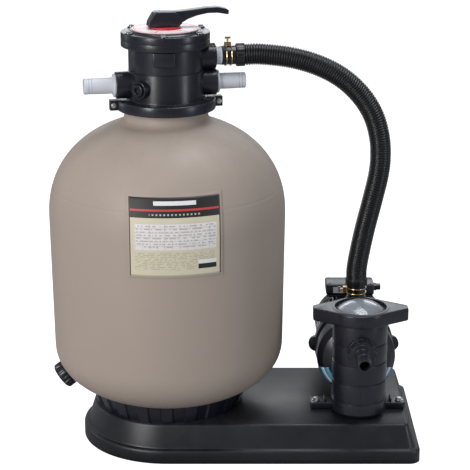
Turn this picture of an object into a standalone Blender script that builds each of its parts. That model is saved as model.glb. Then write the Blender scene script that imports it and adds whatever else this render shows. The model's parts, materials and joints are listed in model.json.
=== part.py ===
"""Sand filter set for a pool: filter tank, top-mount multiport valve, hose and strainer pump on one base.

The frame has its origin at the middle of the set's footprint, on the floor, with +Z up. The tank stands
at -X, the pump at +X, and the pump's suction port faces -Y. Every length is in metres.
"""
import math

import bmesh
import bpy
from mathutils import Matrix, Vector

# Clearances
GAP = 0.0003
CURVED_GAP = 0.0005
THREAD_GAP = 0.0005
SEAT_GAP = 0.0008

# Base tray
BASE_HEIGHT = 0.080
BASE_HALF_DEPTH = 0.191
BASE_REACH = 0.542
BASE_WALL = 0.004
BASE_CORNER = 0.024
LIP_HEIGHT = 0.030
LIP_LEDGE = 0.010
BASE_DRAFT = 0.0145
BASE_EDGE = 0.004

# Tank
TANK_RADIUS = 0.254
TANK_TAPER = 0.0043
TANK_WALL = 0.005
TANK_SIDE = 0.288
TANK_CLEARANCE = 0.0101
SHOULDER_RISE = 0.2116
SHOULDER_POWER = 2.19
BELLY_DROP = 0.1293
BELLY_POWER = 2.21
FLOOR_FLAT_RADIUS = 0.030
NECK_RISE = 0.026
NECK_RADIUS = 0.089
NECK_BORE = 0.080
NECK_FLARE = 0.023
NECK_FLANGE = 0.008
NECK_FLANGE_THICKNESS = 0.0067
NECK_SEAL = 0.0014

# Skirt under the tank
SKIRT_FOOT_RADIUS = 0.160
SKIRT_TOP_RADIUS = 0.174
SKIRT_THICKNESS = 0.013
SKIRT_PLEATS = 20
PLEAT_DEPTH = 0.005

# Underdrain
STANDPIPE_RADIUS = 0.025
STANDPIPE_WALL = 0.0023
HUB_RADIUS = 0.042
LATERAL_COUNT = 6
LATERAL_RADIUS = 0.011
LATERAL_WALL = 0.0018
LATERAL_HEIGHT = 0.040
LATERAL_TO_WALL = 0.020

# Drain
DRAIN_HEIGHT = 0.073
DRAIN_AZIMUTH = math.radians(190.0)
DRAIN_SLOPE = math.radians(-36.0)
DRAIN_BOSS_RADIUS = 0.020
SPIGOT_RADIUS = 0.012
SPIGOT_BORE = 0.008
SPIGOT_LENGTH = 0.015
CAP_RADIUS = 0.0295
CAP_LENGTH = 0.020
CAP_STANDOFF = 0.003
CAP_FILLET = 0.004
DRAIN_SEAL = 0.0029

# Neck clamp
CLAMP_RADIUS = 0.105
CLAMP_HEIGHT = 0.022
CLAMP_LIP = 0.003
CLAMP_EAR_REACH = 0.1204
CLAMP_EAR = 0.0085
CLAMP_BOLT_RADIUS = 0.003

# Multiport valve
VALVE_TURN = math.radians(12.0)
LOWER_BODY_RADIUS = 0.0797
LOWER_BODY_TOP = 0.0726
UPPER_BODY_RADIUS = 0.0783
UPPER_BODY_TOP = 0.123
VALVE_FLANGE_RADIUS = 0.0934
VALVE_FLANGE = 0.0155
CHAMBER_RADIUS = 0.072
LOWER_CHAMBER_RADIUS = 0.070
PORT_PLATE = 0.008
PORT_PLATE_Z = 0.053
PORT_CIRCLE = 0.045
PORT_HOLE_RADIUS = 0.011
SOCKET_WALL = 0.0042
LOWER_PORT_Z = 0.0425
LOWER_BOSS_RADIUS = 0.029
LOWER_BOSS_REACH = 0.107
UPPER_PORT_Z = 0.097
UPPER_BOSS_RADIUS = 0.027
UPPER_BOSS_REACH = 0.1055
PORT_BORE = 0.0205
PAD_SIZE = (0.046, 0.006, 0.031)
PAD_Z = 0.1065
GAUGE_AZIMUTH = math.radians(223.0)
GAUGE_BOSS_RADIUS = 0.017
GAUGE_BOSS_REACH = 0.094
GAUGE_PLUG_RADIUS = 0.0075

# Valve cover
COVER_THICKNESS = 0.0149
COVER_STEP_RADIUS = 0.0745
COVER_STEP = 0.0045
COVER_SEAL_WIDTH = 0.004
COVER_SEAL = 0.0027
COVER_SCREWS = 6
SCREW_CIRCLE = 0.0845
SCREW_BOSS_RADIUS = 0.0085
SCREW_BOSS = 0.002
SCREW_RADIUS = 0.003
SCREW_HEAD = 0.004
DIAL_RADIUS = 0.0703
DIAL_THICKNESS = 0.0015
WASHER_RADIUS = 0.032
WASHER_THICKNESS = 0.0029

# Rotor
GASKET_THICKNESS = 0.0032
ROTOR_RADIUS = 0.069
ROTOR_THICKNESS = 0.008
ROTOR_HUB_RADIUS = 0.036
ROTOR_HUB_TOP = 0.017
STEM_RADIUS = 0.0125
STEM_ABOVE_PIN = 0.007
SPRING_RADIUS = 0.026
SPRING_WIRE = 0.002
SPRING_TURNS = 4
SPRING_POCKET_RADIUS = 0.034
SPRING_POCKET = 0.0072

# Handle
PIN_HEIGHT = 0.0165
PIN_RADIUS = 0.004
HUB_HALF_WIDTH = 0.019
ARM_HALF_WIDTH = 0.0125
HANDLE_REACH = 0.1335

# Hose fittings
TAIL_RADIUS = 0.0168
TAIL_BORE = 0.0135
TAIL_END = 0.174
WASTE_TAIL_END = 0.170
COLLAR_RADIUS = 0.0245
COLLAR = 0.0052
INSERT_LENGTH = 0.022
INLET_COLLAR_RADIUS = 0.0197
INLET_COLLAR = 0.0125
HOSE_TAIL_RADIUS = 0.0160
HOSE_TAIL_BORE = 0.0130
HOSE_TAIL_LENGTH = 0.036
CUFF_RADIUS = 0.020
CUFF_LENGTH = 0.0317
CUFF_RING_RADIUS = 0.0243
CUFF_RING = 0.020
HOSE_RADIUS = 0.0228
WIRE_RADIUS = 0.0012
WIRE_SPACING = 0.011

# Pump
PUMP_FROM_TANK = 0.414
MOTOR_HEIGHT = 0.092
STRAINER_Y = -0.092
POT_RADIUS = 0.0589
POT_FOOT = 0.002
POT_TOP = 0.213
POT_BORE = 0.053
POT_FLOOR = 0.006
POT_LEDGE = 0.060
POT_LEDGE_WIDTH = 0.008
NECK_THREAD_RADIUS = 0.0572
NECK_THREAD = 0.0125
SUCTION_HEIGHT = 0.161
SUCTION_BOSS_RADIUS = 0.0305
SUCTION_FACE = 0.066
SUCTION_NUT_RADIUS = 0.030
SUCTION_NUT = 0.0187
SUCTION_TAIL_RADIUS = 0.0135
SUCTION_TAIL_BORE = 0.0105
SUCTION_STEP_RADIUS = 0.016
SUCTION_STEP = 0.029
SUCTION_TAIL = 0.059
THROAT_RADIUS = 0.040
THROAT_BORE = 0.022
VOLUTE_RADIUS = 0.087
VOLUTE_RIM_RADIUS = 0.089
VOLUTE_RIM = 0.012
VOLUTE_BACK = 0.076
VOLUTE_FRONT = -0.028
VOLUTE_CHAMBER = 0.075
VOLUTE_CHAMBER_FRONT = 0.004
DISCHARGE_Y = 0.042
DISCHARGE_BOSS_RADIUS = 0.026
DISCHARGE_TOP = 0.188
DISCHARGE_COLLAR_RADIUS = 0.0235
DISCHARGE_COLLAR = 0.0317

# Strainer basket and lid
BASKET_CLEARANCE = 0.0005
BASKET_RIM = 0.0025
BASKET_TOP = 0.200
BASKET_WALL = 0.0015
BASKET_SLOTS = 4
LID_SEAL = 0.0022
WINDOW_RADIUS = 0.057
WINDOW_FLANGE = 0.0042
DOME_RADIUS = 0.050
DOME_RISE = 0.015
DOME_WALL = 0.004
LID_RING_RADIUS = 0.0665
LID_RING_HEIGHT = 0.028
LID_BORE = 0.0577
LID_LIP_BORE = 0.0515
WING_REACH = 0.102
WING_HALF_WIDTH = 0.0135
WING_ROOT_ANGLE = math.radians(42.0)

# Motor and bracket
PLATE_THICKNESS = 0.0117
EAR_RADIUS = 0.018
EAR_CENTRE = 0.084
FOOT_HALF_WIDTH = 0.1035
FOOT_FRONT = -0.080
FOOT_PAD_BACK = -0.045
FOOT_BEAM_HALF_WIDTH = 0.050
FOOT_THICKNESS = 0.014
FOOT_BOLT_X = 0.090
FOOT_BOLT_Y = -0.0625
FOOT_BOLT_RADIUS = 0.004
SHAFT_RADIUS = 0.008
SHAFT_FRONT = 0.012
SHAFT_BACK = 0.236
CORE_RADIUS = 0.045
CORE_SPAN = (0.110, 0.190)
IMPELLER_RADIUS = 0.062
IMPELLER_HUB_RADIUS = 0.018
IMPELLER_SPAN = (0.006, 0.034)
IMPELLER_VANES = 5
MOTOR_RADIUS = 0.080
MOTOR_BACK = 0.211
MOTOR_WALL = 0.006
FAN_RADIUS = 0.062
FAN_SPAN = (0.2145, 0.233)
FAN_BLADES = 7
FAN_COVER_BACK = 0.250
FAN_COVER_WALL = 0.003
BOX_SPAN_X = (-0.060, 0.050)
BOX_SPAN_Y = (0.150, 0.208)
BOX_BASE_HALF_WIDTH = 0.035
BOX_BASE_Z = 0.160
BOX_LID_Z = 0.182
BOX_TOP_Z = 0.208
GLAND_RADIUS = 0.0075
GLAND_NUT_RADIUS = 0.0095
GLAND_LENGTH = 0.016
GLAND_Z = 0.194

# Sides on round pieces
TANK_STEPS = 40
CLAMP_STEPS = 36
ROUND_STEPS = 28

# Places that follow from the sizes above
TANK_X = (TANK_RADIUS - BASE_REACH) / 2.0
PUMP_X = TANK_X + PUMP_FROM_TANK
TANK_BOTTOM = BASE_HEIGHT + TANK_CLEARANCE
BELLY_Z = TANK_BOTTOM + BELLY_DROP
SHOULDER_Z = BELLY_Z + TANK_SIDE
NECK_TOP = SHOULDER_Z + SHOULDER_RISE + NECK_RISE
LOWER_TANK_RADIUS = TANK_RADIUS - TANK_TAPER
FLANGE_RADIUS = NECK_RADIUS + NECK_FLANGE
VALVE_FLANGE_Z = NECK_SEAL + 2.0 * GAP
VALVE_FLANGE_TOP = VALVE_FLANGE_Z + NECK_FLANGE_THICKNESS
CHAMBER_FLOOR = PORT_PLATE_Z + PORT_PLATE
BODY_TOP = UPPER_BODY_TOP + VALVE_FLANGE
COVER_Z = BODY_TOP + GAP
COVER_RIM_Z = COVER_Z + COVER_THICKNESS
COVER_TOP = COVER_RIM_Z + COVER_STEP
DIAL_Z = COVER_TOP + GAP
WASHER_Z = DIAL_Z + DIAL_THICKNESS + GAP
HANDLE_Z = WASHER_Z + WASHER_THICKNESS + GAP
PIN_Z = HANDLE_Z + PIN_HEIGHT
GASKET_Z = CHAMBER_FLOOR + GAP
ROTOR_Z = GASKET_Z + GASKET_THICKNESS + GAP
STEM_BORE = STEM_RADIUS + GAP
SHAFT_BORE = SHAFT_RADIUS + GAP
PLATE_Z = VOLUTE_BACK + GAP
MOTOR_FRONT = PLATE_Z + PLATE_THICKNESS + GAP
POT_LEDGE_BORE = POT_BORE - POT_LEDGE_WIDTH
BASKET_RIM_RADIUS = POT_BORE - BASKET_CLEARANCE
BASKET_RADIUS = BASKET_RIM_RADIUS - BASKET_RIM
POT_RIM = POT_TOP + NECK_THREAD
LID_RING_Z = POT_TOP + GAP
LID_SEAL_Z = POT_RIM + GAP
WINDOW_Z = LID_SEAL_Z + LID_SEAL + GAP
WINDOW_TOP = WINDOW_Z + WINDOW_FLANGE

# The hose's route between its two cuffs: the share of the way from the valve to the pump along X, and the
# share of the way down, at each point. It leans out past the pump before it comes down onto it.
HOSE_ROUTE = (
    (0.139, -0.001), (0.393, 0.014), (0.623, 0.047), (0.826, 0.099), (0.991, 0.172), (1.108, 0.259),
    (1.170, 0.355), (1.186, 0.449), (1.172, 0.532), (1.126, 0.641), (1.063, 0.778), (1.020, 0.890),
)

BLACK = (0.020, 0.021, 0.026)
BASE_BLACK = (0.030, 0.031, 0.036)
TAUPE = (0.333, 0.289, 0.243)
WHITE = (0.62, 0.64, 0.68)
RUBBER = (0.012, 0.012, 0.013)
STEEL = (0.60, 0.60, 0.58)
GOLD = (0.52, 0.38, 0.18)
CLEAR = (0.55, 0.60, 0.66)

PARTS = "sand_filter_set"
CUTTERS = "cutters"


def clear_scene():
    for obj in list(bpy.data.objects):
        bpy.data.objects.remove(obj, do_unlink=True)
    for name in (PARTS, CUTTERS):
        bpy.context.scene.collection.children.link(bpy.data.collections.new(name))


def frame_at(name, location, rotation=(0.0, 0.0, 0.0), parent=None):
    """An empty that the pieces on one axis are placed from."""
    empty = bpy.data.objects.new(name, None)
    empty.empty_display_size = 0.03
    empty.location = location
    empty.rotation_euler = rotation
    empty.parent = parent
    bpy.data.collections[PARTS].objects.link(empty)
    return empty


def finish(obj, colour, roughness, metallic):
    material = bpy.data.materials.new(obj.name)
    material.use_nodes = True
    shader = material.node_tree.nodes["Principled BSDF"]
    shader.inputs["Base Color"].default_value = (*colour, 1.0)
    shader.inputs["Roughness"].default_value = roughness
    shader.inputs["Metallic"].default_value = metallic
    obj.data.materials.append(material)


def place(obj, parent, location=(0.0, 0.0, 0.0), rotation=(0.0, 0.0, 0.0)):
    obj.location = location
    obj.rotation_euler = rotation
    obj.parent = parent
    return obj


def as_part(obj, colour=BLACK, roughness=0.45, metallic=0.0):
    finish(obj, colour, roughness, metallic)
    bpy.data.collections[PARTS].objects.link(obj)
    return obj


def boolean(target, tool, operation):
    """Cuts the tool from the target, or joins it on, and hides the tool."""
    if tool.name not in bpy.data.collections[CUTTERS].objects:
        bpy.data.collections[CUTTERS].objects.link(tool)
    tool.hide_render = True
    tool.display_type = "WIRE"
    modifier = target.modifiers.new(tool.name, "BOOLEAN")
    modifier.operation = operation
    modifier.object = tool
    modifier.solver = "EXACT"


def cut(target, *tools):
    for tool in tools:
        boolean(target, tool, "DIFFERENCE")


def join(target, *tools):
    for tool in tools:
        boolean(target, tool, "UNION")


def turned(name, profile, steps, closed=False):
    """A profile of (radius, height) turned about Z. It runs down its outer side."""
    bm = bmesh.new()
    points = [bm.verts.new((radius, 0.0, height)) for radius, height in profile]
    for first, second in zip(points, points[1:]):
        bm.edges.new((first, second))
    if closed:
        bm.edges.new((points[-1], points[0]))
    mesh = bpy.data.meshes.new(name)
    bm.to_mesh(mesh)
    bm.free()
    obj = bpy.data.objects.new(name, mesh)
    screw = obj.modifiers.new("turn", "SCREW")
    screw.steps = screw.render_steps = steps
    screw.use_merge_vertices = True
    screw.merge_threshold = 0.00001
    return obj


def ring(name, inner, outer, bottom, top, steps):
    return turned(name, [(outer, top), (outer, bottom), (inner, bottom), (inner, top)], steps, closed=True)


def cylinder(name, radius, start, end, segments=24):
    """A cylinder between two points."""
    start, end = Vector(start), Vector(end)
    along = end - start
    turn = along.to_track_quat("Z", "Y").to_matrix().to_4x4()
    bm = bmesh.new()
    bmesh.ops.create_cone(
        bm,
        cap_ends=True,
        segments=segments,
        radius1=radius,
        radius2=radius,
        depth=along.length,
        matrix=Matrix.Translation((start + end) / 2.0) @ turn,
    )
    return from_bmesh(name, bm)


def box(name, low, high):
    low, high = Vector(low), Vector(high)
    bm = bmesh.new()
    scale = Matrix.Diagonal((*(high - low), 1.0))
    bmesh.ops.create_cube(bm, size=1.0, matrix=Matrix.Translation((low + high) / 2.0) @ scale)
    return from_bmesh(name, bm)


def from_bmesh(name, bm):
    mesh = bpy.data.meshes.new(name)
    bm.to_mesh(mesh)
    bm.free()
    return bpy.data.objects.new(name, mesh)


def made_mesh(curve):
    """The same shape as a closed mesh, for a Boolean to work on."""
    bpy.context.scene.collection.objects.link(curve)
    graph = bpy.context.evaluated_depsgraph_get()
    mesh = bpy.data.meshes.new_from_object(curve.evaluated_get(graph))
    bm = bmesh.new()
    bm.from_mesh(mesh)
    bmesh.ops.remove_doubles(bm, verts=bm.verts, dist=0.00001)
    bm.to_mesh(mesh)
    bm.free()
    name = curve.name
    bpy.data.objects.remove(curve)
    mesh.materials.clear()
    return bpy.data.objects.new(name, mesh)


def plate(name, outline, thickness):
    """A flat outline in XY, with its thickness split either side of Z = 0."""
    curve = bpy.data.curves.new(name, "CURVE")
    curve.dimensions = "2D"
    curve.fill_mode = "BOTH"
    curve.extrude = thickness / 2.0
    spline = curve.splines.new("POLY")
    spline.points.add(len(outline) - 1)
    for point, (x, y) in zip(spline.points, outline):
        point.co = (x, y, 0.0, 1.0)
    spline.use_cyclic_u = True
    return made_mesh(bpy.data.objects.new(name, curve))


def tube(name, points, radii, resolution):
    """A filled tube along points, with its own radius at each."""
    curve = bpy.data.curves.new(name, "CURVE")
    curve.dimensions = "3D"
    curve.bevel_depth = 1.0
    curve.bevel_resolution = resolution
    curve.use_fill_caps = True
    spline = curve.splines.new("POLY")
    spline.points.add(len(points) - 1)
    for point, place_, radius in zip(spline.points, points, radii):
        point.co = (*place_, 1.0)
        point.radius = radius
    return made_mesh(bpy.data.objects.new(name, curve))


def around(radius, angle, height=0.0):
    return Vector((radius * math.cos(angle), radius * math.sin(angle), height))


# ---------------------------------------------------------------- base


def base_outline(half_depth, reach, corner):
    """Round behind the tank, straight along the sides, with two round corners at the pump's end."""
    points = []
    for step in range(25):
        angle = math.pi / 2.0 + math.pi * step / 24.0
        points.append((half_depth * math.cos(angle), half_depth * math.sin(angle)))
    for centre_y, first in ((corner - half_depth, -math.pi / 2.0), (half_depth - corner, 0.0)):
        for step in range(5):
            angle = first + math.pi / 2.0 * step / 4.0
            points.append((reach - corner + corner * math.cos(angle), centre_y + corner * math.sin(angle)))
    return points


def make_base():
    lip = (0.0, LIP_HEIGHT - BASE_EDGE)
    levels = [
        (0.0, lip[0]),
        (0.0, lip[1]),
        (BASE_EDGE, LIP_HEIGHT),
        (LIP_LEDGE, LIP_HEIGHT),
        (LIP_LEDGE + BASE_DRAFT, BASE_HEIGHT - BASE_EDGE),
        (LIP_LEDGE + BASE_DRAFT + BASE_EDGE, BASE_HEIGHT),
    ]
    bm = bmesh.new()
    rings = []
    for inset, height in levels:
        corner = max(BASE_CORNER - 0.5 * inset, BASE_EDGE)
        outline = base_outline(BASE_HALF_DEPTH - inset, BASE_REACH - inset, corner)
        loop = [bm.verts.new((x, y, height)) for x, y in outline]
        rings.append([bm.edges.new((a, b)) for a, b in zip(loop, loop[1:] + loop[:1])])
    for lower, upper in zip(rings, rings[1:]):
        bmesh.ops.bridge_loops(bm, edges=lower + upper)
    bmesh.ops.contextual_create(bm, geom=rings[-1])
    bmesh.ops.recalc_face_normals(bm, faces=bm.faces)
    obj = as_part(from_bmesh("platform", bm), BASE_BLACK, 0.5)
    place(obj, None, (TANK_X, 0.0, 0.0))
    wall = obj.modifiers.new("wall", "SOLIDIFY")
    wall.thickness = BASE_WALL
    wall.offset = -1.0
    wall.use_even_offset = True
    for name, side in (("left", -1.0), ("right", 1.0)):
        x = PUMP_X - TANK_X + side * FOOT_BOLT_X
        hole = cylinder(
            f"platform_hole_{name}",
            FOOT_BOLT_RADIUS + GAP,
            (x, FOOT_BOLT_Y, BASE_HEIGHT - 3.0 * BASE_WALL),
            (x, FOOT_BOLT_Y, BASE_HEIGHT + BASE_WALL),
            12,
        )
        cut(obj, place(hole, None, (TANK_X, 0.0, 0.0)))


# ---------------------------------------------------------------- tank


def belly_radius(height, inset=0.0):
    """The tank's radius at a height below its straight side."""
    share = min((BELLY_Z - height) / (BELLY_DROP - inset), 1.0)
    return (LOWER_TANK_RADIUS - inset) * (1.0 - share**BELLY_POWER) ** (1.0 / BELLY_POWER)


def belly_height(radius, inset=0.0):
    share = radius / (LOWER_TANK_RADIUS - inset)
    return BELLY_Z - (BELLY_DROP - inset) * (1.0 - share**BELLY_POWER) ** (1.0 / BELLY_POWER)


def shoulder_height(radius, inset=0.0):
    share = radius / (TANK_RADIUS - inset)
    return SHOULDER_Z + (SHOULDER_RISE - inset) * (1.0 - share**SHOULDER_POWER) ** (1.0 / SHOULDER_POWER)


def tank_side(inset, first_radius, count):
    """The wall from a radius on the shoulder, down the side and in to the middle of the bottom."""
    outer = TANK_RADIUS - inset
    start = math.asin((first_radius / outer) ** (SHOULDER_POWER / 2.0))
    points = []
    for step in range(count + 1):
        angle = start + (math.pi / 2.0 - start) * step / count
        radius = outer * math.sin(angle) ** (2.0 / SHOULDER_POWER)
        points.append((radius, shoulder_height(min(radius, outer), inset)))
    for step in range(count):
        angle = math.pi / 2.0 * step / count
        radius = (LOWER_TANK_RADIUS - inset) * math.cos(angle) ** (2.0 / BELLY_POWER)
        points.append((radius, belly_height(radius, inset)))
    points += [(FLOOR_FLAT_RADIUS, TANK_BOTTOM + inset), (0.0, TANK_BOTTOM + inset)]
    return points


def neck_flare(count=3):
    """The hollow curve between the neck and the shoulder."""
    foot = NECK_RADIUS + NECK_FLARE
    low = shoulder_height(foot)
    start = Vector((NECK_RADIUS, low + 0.9 * NECK_FLARE))
    bend = Vector((NECK_RADIUS, low + 0.25 * NECK_FLARE))
    end = Vector((foot, low))
    points = []
    for step in range(count):
        t = step / count
        point = start * (1.0 - t) ** 2 + bend * 2.0 * t * (1.0 - t) + end * t**2
        points.append((point.x, point.y))
    return points


def make_tank(drain):
    outer = [
        (FLANGE_RADIUS, NECK_TOP),
        (FLANGE_RADIUS, NECK_TOP - NECK_FLANGE_THICKNESS),
        (NECK_RADIUS, NECK_TOP - NECK_FLANGE_THICKNESS),
        *neck_flare(),
        *tank_side(0.0, NECK_RADIUS + NECK_FLARE, 7),
    ]
    inner = [(NECK_BORE, NECK_TOP), *tank_side(TANK_WALL, NECK_BORE, 5)]
    shell = as_part(turned("tank_shell", inner[::-1] + outer, TANK_STEPS), TAUPE, 0.6)
    place(shell, None, (TANK_X, 0.0, 0.0))
    boss = cylinder("drain_boss", DRAIN_BOSS_RADIUS, (0.0, 0.0, -2.2 * TANK_WALL), (0.0, 0.0, 0.0015))
    bore = cylinder("drain_bore", SPIGOT_RADIUS + GAP, (0.0, 0.0, -0.06), (0.0, 0.0, 0.03))
    join(shell, place(boss, drain))
    cut(shell, place(bore, drain))


def make_skirt():
    """A pleated ring: its top follows the tank's underside and carries it."""
    inner_radius = SKIRT_FOOT_RADIUS - SKIRT_THICKNESS
    seat_outer = belly_height(SKIRT_TOP_RADIUS) - SEAT_GAP
    seat_inner = belly_height(inner_radius) - SEAT_GAP
    foot = BASE_HEIGHT + GAP
    profile = [
        (SKIRT_TOP_RADIUS, seat_outer),
        (SKIRT_FOOT_RADIUS, foot),
        (inner_radius, foot),
        (inner_radius, seat_inner),
    ]
    rough = turned("tank_skirt", profile, 4 * SKIRT_PLEATS, closed=True)
    obj = as_part(made_mesh(rough), BLACK, 0.5)
    place(obj, None, (TANK_X, 0.0, 0.0))
    pitch = 2.0 * math.pi / SKIRT_PLEATS
    shares = (-0.22, 0.22, 0.28, 0.72)
    for vertex in obj.data.vertices:
        radius = math.hypot(vertex.co.x, vertex.co.y)
        step = round(math.atan2(vertex.co.y, vertex.co.x) / (pitch / 4.0)) % (4 * SKIRT_PLEATS)
        angle = pitch * (step // 4 + shares[step % 4])
        if radius > (inner_radius + SKIRT_FOOT_RADIUS) / 2.0 and step % 4 > 1:
            radius -= PLEAT_DEPTH
            if vertex.co.z > foot + PLEAT_DEPTH:
                vertex.co.z = belly_height(radius) - SEAT_GAP
        vertex.co.x = radius * math.cos(angle)
        vertex.co.y = radius * math.sin(angle)


def make_underdrain(tank):
    lateral_z = TANK_BOTTOM + LATERAL_HEIGHT
    hub_top = lateral_z + 0.030
    hub_bottom = TANK_BOTTOM + TANK_WALL + CURVED_GAP
    socket_floor = lateral_z - LATERAL_RADIUS - 0.002
    hub = as_part(
        turned(
            "lateral_hub",
            [
                (0.0, socket_floor),
                (STANDPIPE_RADIUS + GAP, socket_floor),
                (STANDPIPE_RADIUS + GAP, hub_top),
                (HUB_RADIUS - 0.010, hub_top),
                (HUB_RADIUS, hub_top - 0.010),
                (HUB_RADIUS, lateral_z - LATERAL_RADIUS - 0.005),
                (FLOOR_FLAT_RADIUS - 0.008, hub_bottom + 0.004),
                (FLOOR_FLAT_RADIUS - 0.008, hub_bottom),
                (0.0, hub_bottom),
            ],
            24,
        ),
        WHITE,
    )
    place(hub, tank)
    socket_depth = 0.008
    root = HUB_RADIUS - socket_depth
    tip = belly_radius(lateral_z - LATERAL_RADIUS, TANK_WALL) - LATERAL_TO_WALL
    for index in range(LATERAL_COUNT):
        angle = 2.0 * math.pi * index / LATERAL_COUNT
        socket = cylinder(
            f"lateral_socket_{index + 1}",
            LATERAL_RADIUS + GAP,
            around(root - GAP, angle, lateral_z),
            around(HUB_RADIUS + 0.004, angle, lateral_z),
            12,
        )
        cut(hub, place(socket, tank))
        lateral = as_part(
            cylinder(
                f"lateral_{index + 1}",
                LATERAL_RADIUS,
                around(root, angle, lateral_z),
                around(tip, angle, lateral_z),
                12,
            ),
            WHITE,
        )
        bore = cylinder(
            f"lateral_bore_{index + 1}",
            LATERAL_RADIUS - LATERAL_WALL,
            around(root - 0.010, angle, lateral_z),
            around(tip - LATERAL_WALL, angle, lateral_z),
            12,
        )
        place(lateral, tank)
        cut(lateral, place(bore, tank))
    pipe_top = NECK_TOP + PORT_PLATE_Z - GAP
    pipe = ring(
        "standpipe",
        STANDPIPE_RADIUS - STANDPIPE_WALL,
        STANDPIPE_RADIUS,
        socket_floor + GAP,
        pipe_top,
        24,
    )
    place(as_part(pipe, WHITE), tank)


def make_drain(drain):
    spigot_floor = -0.020
    spigot = as_part(ring("drain_spigot", SPIGOT_BORE, SPIGOT_RADIUS, spigot_floor, SPIGOT_LENGTH, 24))
    place(spigot, drain)
    seal_z = SPIGOT_LENGTH + GAP
    seal = ring("drain_seal", SPIGOT_BORE + 0.001, SPIGOT_RADIUS, seal_z, seal_z + DRAIN_SEAL, 24)
    place(as_part(seal, RUBBER, 0.8), drain)
    cap_back = CAP_STANDOFF + CAP_LENGTH
    inner_end = seal_z + DRAIN_SEAL + GAP
    cap = turned(
        "drain_cap",
        [
            (0.0, cap_back),
            (CAP_RADIUS - CAP_FILLET, cap_back),
            (CAP_RADIUS, cap_back - CAP_FILLET),
            (CAP_RADIUS, CAP_STANDOFF),
            (SPIGOT_RADIUS + THREAD_GAP, CAP_STANDOFF),
            (SPIGOT_RADIUS + THREAD_GAP, inner_end),
            (0.0, inner_end),
        ],
        24,
    )
    place(as_part(cap), drain)


# ---------------------------------------------------------------- neck clamp


def clamp_half(name, side, valve):
    """Half of the channel that draws the valve's flange and the tank's flange together."""
    bottom = (VALVE_FLANGE_TOP - NECK_FLANGE_THICKNESS) / 2.0 - CLAMP_HEIGHT / 2.0
    top = bottom + CLAMP_HEIGHT
    lower_lip = -NECK_FLANGE_THICKNESS - GAP
    upper_lip = VALVE_FLANGE_TOP + GAP
    channel = FLANGE_RADIUS + CURVED_GAP
    profile = [
        (CLAMP_RADIUS, top),
        (CLAMP_RADIUS, bottom),
        (NECK_RADIUS + 0.001, bottom),
        (NECK_RADIUS + 0.001, lower_lip),
        (channel, lower_lip),
        (channel, upper_lip),
        (LOWER_BODY_RADIUS + 0.003, upper_lip),
        (LOWER_BODY_RADIUS + 0.003, top),
    ]
    half = as_part(turned(name, profile, CLAMP_STEPS, closed=True))
    place(half, valve)
    reach = CLAMP_EAR_REACH + 0.02
    near, far = sorted((side * GAP, -side * reach))
    waste = box(f"{name}_waste", (-reach, near, bottom - 0.01), (reach, far, top + 0.01))
    cut(half, place(waste, valve))
    for label, end in (("left", -1.0), ("right", 1.0)):
        x_low, x_high = sorted((end * (CLAMP_RADIUS - 0.004), end * CLAMP_EAR_REACH))
        y_low, y_high = sorted((side * GAP, side * CLAMP_EAR))
        ear = box(f"{name}_ear_{label}", (x_low, y_low, bottom), (x_high, y_high, top))
        join(half, place(ear, valve))
        x = end * clamp_bolt_x()
        hole = cylinder(
            f"{name}_hole_{label}",
            CLAMP_BOLT_RADIUS + GAP,
            (x, -0.02, (bottom + top) / 2.0),
            (x, 0.02, (bottom + top) / 2.0),
            12,
        )
        cut(half, place(hole, valve))


def clamp_bolt_x():
    return (CLAMP_RADIUS + CLAMP_EAR_REACH) / 2.0


def clamp_bolt(name, end, valve):
    """A bolt through both ears, with its head in front and its nut behind."""
    x = end * clamp_bolt_x()
    z = (VALVE_FLANGE_TOP - NECK_FLANGE_THICKNESS) / 2.0
    face = CLAMP_EAR + GAP
    head = 0.0035
    shank = cylinder(name, CLAMP_BOLT_RADIUS, (x, -face - 0.001, z), (x, face + 0.001, z), 12)
    bolt_head = cylinder(f"{name}_head", 0.0062, (x, -face - head, z), (x, -face, z), 6)
    nut = cylinder(f"{name}_nut", 0.0062, (x, face, z), (x, face + head, z), 6)
    place(as_part(shank, STEEL, 0.35, 1.0), valve)
    join(shank, place(bolt_head, valve), place(nut, valve))


# ---------------------------------------------------------------- valve


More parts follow.
